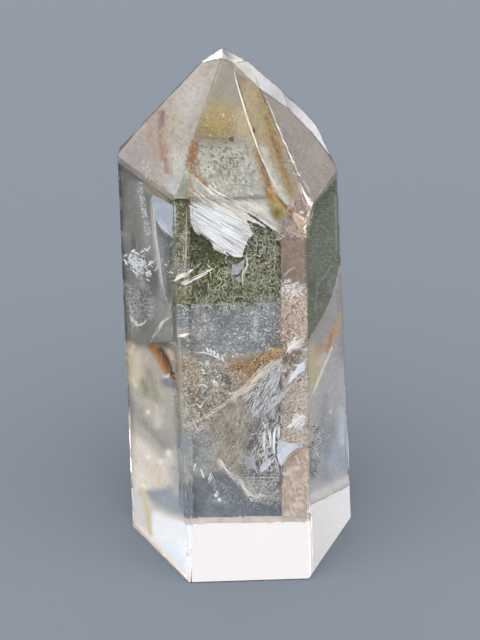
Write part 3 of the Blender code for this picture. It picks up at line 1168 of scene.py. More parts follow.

# The green upper part of the right face, partly painted reflection: green surroundings seen through the stone
rightTopTints = painted((118, 120, 90), [], [
    ((88, 92, 60), 1, 7, [(312, 214), (326, 196), (334, 186)]),
    ((100, 104, 68), 0.9, 5, [(308, 232), (312, 216)]),
    ((120, 123, 104), 0.8, 9, [(318, 240), (322, 262)]),
    ((96, 98, 82), 0.9, 2.0, [(338, 196), (339, 262)]),
    ((156, 158, 150), 0.9, 1.0, [(335.5, 196), (336.5, 250)]),
    ((150, 152, 146), 0.9, 1.2, [(341, 200), (342, 262)]),
    ((98, 102, 80), 0.8, 6, [(312, 284), (322, 296)]),
    ((156, 156, 146), 0.8, 1, [(318, 284), (328, 272), (331, 266)]),
    ((150, 152, 138), 0.7, 1, [(318, 284), (315, 310)]),
    ((142, 142, 134), 0.8, 3, [(333, 276), (330, 292)]),
], seed=55, gain=0.9, grain=0.3)

# Its lower part: lilac grey under the green, an amber band, olive along the front edge, and cold grey on the
# right; the greys are partly painted reflection of surroundings seen through the stone
rightLowTints = painted((164, 163, 162), [], [
    ((140, 139, 137), 1, 16, [(324, 338), (342, 300), (346, 350)]),
    ((144, 141, 135), 1, 5, [(308, 342), (318, 328), (328, 310), (336, 292)]),
    ((142, 131, 120), 1.1, 6, [(343, 276), (344, 312), (346, 334)]),
    ((168, 142, 108), 1, 4.5, [(312, 358), (322, 347), (334, 334), (342, 316)]),
    ((176, 164, 128), 1.2, 7, [(309, 352), (314, 366), (311, 384)]),
    ((158, 112, 72), 1, 1.3, [(331, 334), (330, 344), (327, 352)]),
    ((188, 179, 162), 1, 3, [(324, 356), (320, 364)]),
    ((112, 110, 104), 1, 1, [(330, 352), (321, 372), (312, 396)]),
    ((222, 216, 204), 1.1, 1, [(332, 348), (323, 368), (313, 394)]),
    ((178, 170, 158), 1.1, 6, [(309, 396), (311, 446)]),
    ((146, 146, 144), 0.9, 3, [(326, 396), (322, 430), (315, 470)]),
    ((200, 199, 196), 1, 2.4, [(320, 432), (315, 456)]),
    ((142, 146, 151), 1.1, 6, [(331, 430), (326, 476)]),
    ((158, 163, 171), 0.9, 4, [(335, 448), (331, 470)]),
    ((182, 187, 192), 1.1, 3.5, [(341, 410), (342, 442)]),
    ((146, 154, 164), 0.8, 4, [(341, 456), (343, 468)]),
    ((184, 190, 195), 1, 3, [(349, 410), (350, 456)]),
    ((200, 194, 188), 1.1, 5, [(309, 498), (322, 494), (348, 480)]),
    ((122, 122, 120), 0.8, 2.2, [(311, 452), (310, 472)]),
], seed=57, gain=1.35, grain=0.14)

# The middle of the front: cold grey, partly painted reflection of surroundings, between the green and the
# rust
middlePaint = ((141, 143, 142), [], [
    ((124, 124, 110), 1, 5, [(180, 307), (220, 306)]),
    ((160, 159, 154), 0.9, 7, [(192, 322), (206, 320)]),
    ((178, 168, 158), 0.9, 5, [(180, 334), (190, 336)]),
    ((134, 139, 142), 1.1, 10, [(222, 332), (250, 336)]),
    ((154, 156, 152), 1, 4, [(240, 308), (250, 309)]),
    ((186, 186, 184), 1, 2.4, [(255, 312), (255, 340)]),
    ((188, 180, 170), 1, 6, [(180, 334), (197, 332)]),
    ((154, 149, 140), 0.9, 7, [(276, 312), (274, 336)]),
    ((150, 147, 138), 0.9, 5, [(184, 350), (204, 350)]),
])
middleTints = painted(*middlePaint, seed=59, gain=1.2, grain=0.3)

# The lower front: gold and olive, grey folds on the right, a dark shadow at the bottom
frontLowPaint = ((164, 157, 144), [
    ((158, 160, 157), 10, [(178, 434), (214, 430), (222, 458), (206, 474), (180, 470)]),
    ((156, 158, 160), 6, [(286, 350), (262, 368), (250, 388), (256, 420), (262, 466), (288, 466)]),
    ((170, 164, 152), 8, [
        (212, 430), (238, 400), (250, 410), (252, 440), (246, 468), (232, 478), (216, 458),
    ]),
    ((144, 143, 141), 5, [(238, 470), (250, 460), (288, 464), (288, 500), (262, 499), (246, 492)]),
    ((119, 124, 130), 7, [
        (180, 486), (204, 476), (222, 472), (236, 486), (250, 500), (290, 503), (290, 530), (180, 530),
    ]),
    ((150, 128, 100), 6, [
        (228, 361), (251, 358), (286, 342), (288, 351), (268, 364), (252, 380), (236, 380),
    ]),
], [
    ((190, 158, 112), 0.9, 8, [(188, 366), (194, 386)]),
    ((196, 182, 156), 1, 5, [(204, 372), (216, 384)]),
    ((146, 128, 92), 0.8, 3, [(194, 400), (206, 420)]),
    ((216, 216, 220), 1, 4.5, [(284, 358), (272, 372), (276, 398), (270, 412)]),
    ((212, 204, 194), 1, 3.5, [(234, 400), (248, 394)]),
    ((122, 122, 122), 1, 2.6, [(266, 368), (258, 384), (252, 400)]),
    ((112, 112, 112), 0.9, 1.6, [(272, 376), (265, 390), (258, 400)]),
    ((192, 192, 194), 0.9, 2.2, [(272, 402), (266, 430), (262, 452)]),
    ((118, 116, 112), 0.9, 2.6, [(260, 414), (257, 446)]),
    ((186, 178, 160), 0.8, 2.4, [(240, 402), (230, 426), (214, 454)]),
    ((138, 130, 114), 0.5, 2, [(232, 404), (220, 428), (206, 450)]),
    ((182, 172, 156), 0.8, 1.8, [(246, 410), (238, 438), (226, 462)]),
    ((136, 128, 114), 0.45, 1.8, [(240, 420), (232, 446), (220, 468)]),
    ((140, 150, 152), 0.7, 5, [(186, 440), (196, 458), (208, 466)]),
    ((112, 110, 106), 0.8, 1.6, [(270, 410), (268, 444)]),
    ((134, 128, 118), 1, 4, [(188, 390), (196, 392)]),
    ((148, 143, 135), 0.9, 5, [(192, 352), (204, 362)]),
    ((178, 148, 104), 0.9, 5, [(236, 376), (250, 382)]),
    ((128, 126, 112), 0.9, 3, [(206, 376), (222, 374), (240, 396)]),
    ((126, 100, 60), 0.8, 3, [(196, 402), (204, 420)]),
    ((214, 202, 188), 1, 2.4, [(234, 396), (250, 384), (262, 374), (284, 360)]),
    ((120, 120, 120), 1, 4, [(252, 386), (250, 404)]),
    ((126, 125, 123), 0.9, 6, [(252, 428), (250, 448)]),
    ((202, 204, 208), 0.9, 4, [(282, 372), (270, 388)]),
    ((194, 196, 198), 0.9, 2.6, [(246, 408), (258, 412), (276, 396)]),
    ((142, 134, 122), 0.9, 4, [(228, 426), (226, 438)]),
    ((120, 122, 127), 1, 5, [(226, 478), (240, 492)]),
    ((192, 189, 180), 0.9, 2.4, [(214, 458), (228, 470), (236, 478)]),
    ((182, 178, 174), 0.8, 3, [(248, 480), (256, 493), (270, 497)]),
    ((138, 140, 126), 0.5, 4, [(194, 486), (198, 498)]),
    ((156, 159, 156), 0.9, 3.5, [(214, 500), (224, 501)]),
    ((148, 156, 158), 0.7, 7, [(188, 450), (194, 460)]),
])
frontLowTints = painted(*frontLowPaint, seed=61, gain=1.3, grain=0.3)

# Thin sheets all through the body: healed cracks, the green ones partly painted reflection of surroundings
wisp = {"soft": 0.6, "ragged": 0.8, "tear": 4, "step": 1.15}
wisps = {
    "green": dict(
        # partly painted reflection: green surroundings seen through the stone, on an olive veil
        outline="net", depth=(6, 11),
        tints=plainTints((128, 131, 66), (102, 105, 46), (148, 150, 100), grain=0.3),
    ),
    # partly painted reflection: green surroundings seen through the stone, on an olive veil
    "leftFront": dict(
        outline="leftFront", depth=(2, 5),
        tints=plainTints((100, 100, 50), (124, 121, 86), (86, 86, 42), patch=4, grain=0.35),
    ),
    "middle": dict(outline="middle", depth=(3, 6), ragged=2, tints=middleTints),
    "frontLow": dict(outline="frontLow", depth=(2.4, 5), tints=frontLowTints),
    "edgeLow": dict(
        outline=[
            (179.4, 347), (188, 347), (186, 372), (191, 396), (187, 420), (193, 446), (188, 470), (194, 494),
            (190, 519), (186.6, 519), (183, 430),
        ],
        depth=(1.2, 1.8), tints=painted(*frontLowPaint, seed=61, gain=1, grain=0.3),
    ),
    "edgeMiddle": dict(
        outline=[(178, 304), (188, 304), (190, 350), (179.4, 349)], depth=(1.2, 1.8),
        tints=painted(*middlePaint, seed=59, gain=0.88, grain=0.3),
    ),
    "foot": dict(
        outline=[(186.6, 518), (308.6, 515), (308.8, 522), (187, 524)], depth=(1.5, 2), ragged=0.2,
        tints=plainTints((222, 208, 198), (208, 194, 184), grain=0.05),
    ),
    "stripTop": dict(
        outline="stripTop", depth=(0.5, 1), tints=plainTints((152, 134, 116), (136, 119, 103), grain=0.3),
    ),
    "stripWorms": dict(
        outline="stripWorms", depth=(0.6, 1.1),
        tints=plainTints(
            (130, 104, 78), (154, 124, 92), (84, 68, 52), crack=(3, (214, 200, 182), 0.8), grain=0.3,
        ),
    ),
    "stripSpeckle": dict(
        outline="stripSpeckle", depth=(0.6, 1.1),
        tints=plainTints(
            (156, 142, 132), (118, 104, 95), (182, 168, 157), crack=(2.6, (222, 212, 204), 0.7), patch=2.5,
        ),
    ),
    "stripCream": dict(
        outline="stripCream", depth=(0.6, 1.1),
        tints=plainTints((194, 180, 165), (174, 155, 136), (214, 202, 190), patch=6, grain=0.1),
    ),
    "stripMiddle": dict(
        outline="stripMiddle", depth=(0.7, 1.2),
        tints=plainTints((180, 172, 164), (136, 120, 106), (228, 222, 214), patch=2.5, grain=0.3),
    ),
}
wispParts = series(veil, wisp, wisps, seed=201)
addPiece("wispy_sheets", wispParts, mineral("wispySheet", roughness=0.5, mottle=0.04))

# The painted sheets of the side faces
sideSheets = {
    "rightTop": dict(outline="rightTop", depth=(0.8, 2), tints=rightTopTints),
    "rightLow": dict(outline="rightLow", depth=(0.8, 2), tints=rightLowTints),
    "leftTop": dict(outline="leftTop", depth=(2.4, 4.5), tear=3, tints=leftTopTints),
    "leftLow": dict(
        outline="leftLow", depth=(0.6, 1.4), soft=0.3, ragged=0.2, lean=0.02, tear=3, tints=leftLowTints,
    ),
}
sideParts = series(veil, wisp, sideSheets, seed=241)
addPiece("side_sheets", sideParts, mineral("sideSheet", roughness=0.5, mottle=0.04))

# Smooth bright patches, where a flat crack mirrors the sky
patch = {"depth": (0.4, 0.8), "soft": 0.2, "ragged": 0.6, "holes": -1, "step": 0.8, "bumps": 0.02}
patches = {
    "sliver": dict(
        outline=[(287, 383.5), (291, 375), (298.5, 365), (305, 361), (305, 370), (297, 375), (291, 382)],
        tints=plainTints((214, 217, 228), (234, 236, 244), grain=0.05),
    ),
    "star": dict(
        outline=[(293, 414), (298, 412), (305.5, 415), (304, 424), (301, 431), (295, 428), (291, 422)],
        tints=plainTints((226, 232, 238), (255, 255, 255), patch=1.6, grain=0.1),
    ),
    "swoosh": dict(
        outline=[
            (277, 448), (279, 440), (288, 443), (305, 446), (297, 452), (290, 458), (284, 462), (281, 467),
            (277, 457),
        ],
        tints=plainTints((200, 204, 212), (216, 220, 226), grain=0.05),
    ),
    "shell": dict(
        outline=[(259, 470), (262, 464), (271, 458), (272, 462), (266, 470), (261, 473)],
        tints=plainTints((196, 200, 206), (220, 222, 226), grain=0.05),
    ),
    "shellLeft": dict(
        outline=[(245, 456), (254, 458), (256, 469), (247, 469)],
        tints=plainTints((164, 166, 172), (184, 184, 190), grain=0.05),
    ),
    "cell": dict(
        outline=[
            (232, 262), (237, 266), (244, 259), (244, 266), (241, 272), (240, 283), (237, 281), (232, 273),
        ],
        tints=plainTints((158, 164, 164), (180, 185, 184), grain=0.05),
    ),
    "stripTop": dict(
        outline=[(287, 342), (294, 338), (303, 340), (302, 347), (294, 350), (288, 356)],
        tints=plainTints((216, 208, 200), (240, 236, 230), patch=2, grain=0.1),
    ),
}
patchParts = series(veil, patch, patches, seed=221)
addPiece("mirror_patches", patchParts, mineral("mirrorPatch", roughness=0.2, shine=0.5, mottle=0.04))

# Nets of fine cracks: crumbs along the borders of cells, and the cells' own sides as threads
netLook = {"size": (0.05, 0.12), "depth": (2, 5), "pattern": "net", "line": 0.7, "blur": 0.2, "tints": white}
nets = {
    "green": dict(outline="netRight", count=1500, cell=8, tints=mossy),
    "greenDust": dict(outline="net", count=900, size=(0.05, 0.13), pattern="patchy", tints=mossy),
    "left": dict(outline="leftFront", count=500, cell=7, tints=mossy),
    "middle": dict(
        outline="middle", count=1300, size=(0.06, 0.18), depth=overSheets, pattern="patchy", patch=16,
        fill=0.1, tints=[(255, 255, 255), (206, 212, 216)],
    ),
    "middleDark": dict(
        outline="middle", count=900, size=(0.05, 0.14), depth=overSheets, pattern="patchy", patch=10,
        tints=[(84, 88, 90), (116, 120, 122)],
    ),
    "seam": dict(
        outline=[(190, 302), (281, 297), (281, 310), (190, 314)], count=500, pattern="patchy", patch=6,
    ),
    "right": dict(
        outline="rightTop", count=1300, size=(0.02, 0.05), depth=(0.5, 1), pattern="patchy", patch=20,
        tints=[(176, 180, 150), (140, 144, 112)],
    ),
    "strip": dict(outline="stripWorms", count=560, size=(0.06, 0.15), depth=(0.3, 0.6), cell=4, tints=cream),
    "speckle": dict(outline="stripSpeckle", count=1100, depth=(0.3, 0.6), cell=3, tints=cream),
    "heart": dict(
        outline="heart", count=900, size=(0.06, 0.17), depth=overSheets, pattern="patchy", patch=7,
        tints=[(255, 252, 244), (220, 210, 190)],
    ),
    "grain": dict(
        outline="grain", count=360, size=(0.05, 0.14), depth=overSheets, pattern="patchy", patch=6,
        tints=[(246, 246, 246), (206, 204, 200)],
    ),
    "haze": dict(
        outline=[(186, 432), (216, 412), (244, 404), (246, 440), (226, 478), (192, 470)], count=500,
        size=(0.1, 0.24), depth=overSheets, pattern="patchy", patch=5, tints=[(232, 224, 208), (98, 96, 90)],
    ),
    "low": dict(
        outline=[(208, 474), (232, 484), (246, 496), (280, 500), (281, 510), (250, 509), (214, 502)],
        count=420, size=(0.1, 0.26), depth=overSheets, pattern="patchy", patch=7,
        tints=[(206, 210, 212), (84, 88, 92)],
    ),
    "lowEdge": dict(
        outline=[
            (212, 452), (228, 466), (244, 484), (262, 494), (280, 490), (280, 504), (254, 502), (236, 486),
        ],
        count=360, size=(0.1, 0.24), depth=(0.3, 0.8), pattern="patchy", patch=4,
        tints=[(246, 244, 238), (212, 206, 196)],
    ),
}
webLook = {"width": (0.025, 0.06), "depth": (1.5, 4), "share": 0.85, "tints": white}
webs = {
    "green": dict(outline="netRight", width=(0.03, 0.08), cell=9, tints=mossy),
    "greenFine": dict(outline="netRight", width=(0.02, 0.045), pattern="patchy", cell=4.5, tints=mossy),
    "greenFar": dict(outline="net", depth=(4, 6), cell=8, tints=[(170, 170, 140), (130, 130, 100)]),
    "left": dict(outline="leftFront", pattern="patchy", cell=5, tints=mossy),
    "middle": dict(
        outline="middle", width=(0.02, 0.05), depth=overSheets, pattern="patchy", cell=4.5,
        tints=[(226, 232, 234), (176, 184, 188)],
    ),
    "heart": dict(
        outline="heart", width=(0.02, 0.06), depth=overSheets, pattern="patchy", patch=13, cell=7, share=0.6,
    ),
    "heartFine": dict(
        outline="heart", width=(0.015, 0.04), depth=overSheets, pattern="patchy", patch=12, cell=4.5,
        share=0.5, tints=[(255, 250, 240), (196, 188, 170)],
    ),
    "heartDark": dict(
        outline="heart", width=(0.02, 0.05), depth=overSheets, pattern="patchy", patch=10, cell=4, share=0.6,
        tints=[(84, 80, 66), (116, 108, 90)],
    ),
    "grain": dict(
        outline="grain", width=(0.02, 0.045), depth=overSheets, pattern="patchy", cell=4,
        tints=[(226, 226, 226), (176, 174, 170)],
    ),
    "strip": dict(outline="stripWorms", width=(0.03, 0.06), depth=closeUnder, cell=3.6, tints=cream),
    "speckle": dict(outline="stripSpeckle", depth=closeUnder, cell=3, share=0.6, tints=cream),
    "right": dict(
        outline="rightTop", width=(0.015, 0.035), depth=(0.4, 0.7), pattern="patchy", cell=4,
        tints=[(186, 190, 160), (136, 140, 108)],
    ),
    "leftDrizzle": dict(outline=[(121, 280), (150, 282), (156, 318), (128, 320)], depth=(1, 2.5), cell=5),
    "swirl": dict(outline=[(168, 388), (180, 388), (180, 409), (168, 409)], depth=(0.6, 1.2), cell=4),
    "shell": dict(outline="shell", width=(0.02, 0.045), depth=(1, 1.8), cell=4),
}
netParts = series(scatter, netLook, nets, seed=41) + series(web, webLook, webs, seed=61)
addPiece("white_net", netParts, mineral("whiteCracks", roughness=0.4, shine=0.3, mottle=0.06))

# Threads: pale ones that wander, and dark ones between them
wormLook = {"length": (2, 6), "width": (0.03, 0.07), "depth": (1.5, 5), "tints": white}
wriggles = {
    "underVeil": dict(outline=[(246, 222), (276, 230), (281, 306), (250, 306)], count=460, tints=mossy),
    "greenZone": dict(
        outline="netRight", count=420, length=(3, 11), width=(0.03, 0.075), heading=96, spread=30,
        tints=mossy,
    ),
    "greenBranches": dict(
        outline=[(184, 258), (226, 260), (250, 270), (250, 302), (184, 302)], count=90, length=(5, 14),
        width=(0.03, 0.08), depth=(0.6, 1), heading=98, spread=18, wriggle=0.3,
        tints=[(222, 222, 200), (176, 178, 146)],
    ),
    "leftFront": dict(
        outline="leftFront", count=170, length=(3, 9), width=(0.02, 0.045), depth=overSheets, heading=88,
        spread=20, tints=mossy,
    ),
    "tipTicks": dict(
        outline=[(202, 160), (236, 158), (256, 194), (206, 196)], count=60, length=(2, 7), width=(0.02, 0.05),
        depth=(0.18, 0.28), heading=48, spread=10, wriggle=0.15, tints=[(240, 240, 234), (206, 202, 190)],
    ),
    "strip": dict(outline="stripWorms", count=460, depth=closeUnder, tints=cream),
    "stripBright": dict(
        outline=[(281, 280), (303, 281), (303, 297), (281, 298)], count=90, width=(0.05, 0.1),
        depth=(0.25, 0.4),
    ),
    "speckle": dict(outline="stripSpeckle", count=500, length=(1.5, 3.5), depth=closeUnder, tints=cream),
    "stripLow": dict(
        outline="stripCream", count=90, length=(4, 12), width=(0.02, 0.06), depth=closeUnder, heading=60,
        spread=16, wriggle=0.2, tints=[(236, 224, 210), (206, 188, 170)],
    ),
    "rightFace": dict(
        outline="rightTop", count=600, width=(0.015, 0.035), depth=(0.4, 0.7),
        tints=[(180, 184, 154), (142, 146, 114)],
    ),
    "rightGlass": dict(
        outline=[(309, 372), (344, 330), (348, 440), (326, 440), (312, 470)], count=320, length=(4, 14),
        depth=(0.4, 0.7), heading=116, spread=8, wriggle=0.12, tints=[(236, 234, 228), (150, 146, 138)],
    ),
    "ribs": dict(
        outline="ribs", count=260, length=(3, 12), width=(0.02, 0.07), depth=overSheets, heading=96,
        spread=18, wriggle=0.3,
    ),
    "folds": dict(
        outline="folds", count=340, length=(4, 14), width=(0.02, 0.07), depth=overSheets, heading=122,
        spread=12, wriggle=0.2,
    ),
    "fan": dict(
        outline=[(214, 414), (244, 398), (254, 410), (240, 474), (212, 458)], count=380, length=(4, 14),
        width=(0.02, 0.06), depth=overSheets, heading=117, spread=9, wriggle=0.2,
        tints=[(222, 212, 192), (112, 104, 90)],
    ),
    "middle": dict(
        outline=[(243, 303), (281, 300), (281, 344), (243, 344)], count=130, width=(0.03, 0.09),
        depth=overSheets, tints=[(232, 236, 238), (186, 192, 196)],
    ),
    "heart": dict(
        outline="heart", count=520, width=(0.02, 0.05), depth=overSheets, heading=-40, spread=80,
        tints=[(255, 250, 242), (200, 193, 178)],
    ),
    "leftLow": dict(
        outline="leftMilk", count=180, length=(4, 14), width=(0.02, 0.06), depth=(0.8, 2), heading=84,
        spread=12, wriggle=0.15, tints=[(250, 244, 228), (206, 196, 170)],
    ),
    "leftTop": dict(
        outline="leftTop", count=260, length=(4, 14), width=(0.015, 0.04), depth=(0.8, 2), heading=88,
        spread=10, wriggle=0.15, tints=[(190, 188, 178), (146, 144, 134)],
    ),
    "leftEdge": dict(
        outline=[(120, 282), (127, 282), (136, 320), (128, 326)], count=26, length=(8, 24),
        width=(0.02, 0.05), depth=(0.5, 1), heading=72, spread=6, wriggle=0.08,
    ),
    "flakeShards": dict(
        outline=[(121, 253), (140, 251), (148, 261), (147, 277), (134, 276), (124, 265)], count=60,
        length=(3, 9), width=(0.12, 0.34), depth=(0.5, 1), heading=14, spread=26, wriggle=0.4, steps=4,
    ),
    "sideShards": dict(
        outline=[(147, 258), (168, 262), (168, 276), (156, 275), (146, 284), (137, 284)], count=16,
        length=(3, 8), width=(0.08, 0.26), depth=(0.5, 1), heading=-30, spread=30, wriggle=0.4, steps=4,
    ),
}
threadParts = series(worms, wormLook, wriggles, seed=81)
addPiece("white_threads", threadParts, mineral("whiteThreads", roughness=0.4, shine=0.3, mottle=0.06))

darkLook = {"length": (2, 7), "width": (0.02, 0.05), "tints": [(78, 74, 66), (116, 110, 98)]}
darkWriggles = {
    "green": dict(
        outline="netRight", count=260, length=(3, 10), width=(0.03, 0.09), depth=(1.5, 4), heading=96,
        spread=34, tints=[(58, 60, 24), (92, 94, 52)],
    ),
    "heart": dict(outline="heart", count=520, depth=overSheets, heading=-40, spread=80),
    "grain": dict(outline="grain", count=160, length=(1.5, 4), depth=overSheets),
    "folds": dict(
        outline="folds", count=170, length=(4, 12), width=(0.03, 0.07), depth=overSheets, heading=122,
        spread=12, wriggle=0.2,
    ),
    "ribs": dict(
        outline="ribs", count=200, length=(3, 10), width=(0.03, 0.07), depth=overSheets, heading=96,
        spread=16, wriggle=0.3,
    ),
    "shell": dict(outline="shell", count=160, depth=(1, 1.8)),
    "strip": dict(outline="stripWorms", count=240, depth=closeUnder, tints=[(80, 60, 42), (120, 92, 66)]),
    "speckle": dict(
        outline="stripSpeckle", count=300, length=(1.5, 3.5), depth=closeUnder,
        tints=[(90, 70, 60), (124, 102, 88)],
    ),
    "leftLow": dict(
        outline="leftMilk", count=90, depth=(1, 3), heading=84, spread=20, wriggle=0.3,
        tints=[(110, 102, 78), (140, 128, 100)],
    ),
    "leftNet": dict(
        outline=[(122, 276), (150, 280), (158, 318), (128, 322)], count=120, depth=(1, 3),
        tints=[(76, 68, 56), (106, 98, 84)],
    ),
    "bubbles": dict(
        outline=[(311, 425), (323, 425), (322, 476), (311, 480)], count=130, length=(1.5, 5),
        width=(0.04, 0.1), depth=(0.3, 0.6), tints=[(78, 78, 78), (112, 112, 110)],
    ),
    "front": dict(
        outline=[(198, 142), (232, 141), (238, 160), (252, 190), (226, 192), (204, 178)], count=120,
        length=(1.5, 4.5), width=(0.02, 0.06), depth=(0.2, 0.3), heading=46, spread=16, wriggle=0.2,
        tints=[(84, 66, 36), (134, 114, 80)],
    ),
    "left": dict(
        outline=[(168, 124), (190, 128), (184, 158), (170, 156)], count=46, length=(1.2, 3),
        depth=(0.25, 0.4), heading=70, spread=22, wriggle=0.2, tints=[(96, 80, 60), (130, 112, 86)],
    ),
}
darkParts = series(worms, darkLook, darkWriggles, seed=101)
addPiece("dark_threads", darkParts, mineral("darkThreads", roughness=0.5, mottle=0.15))

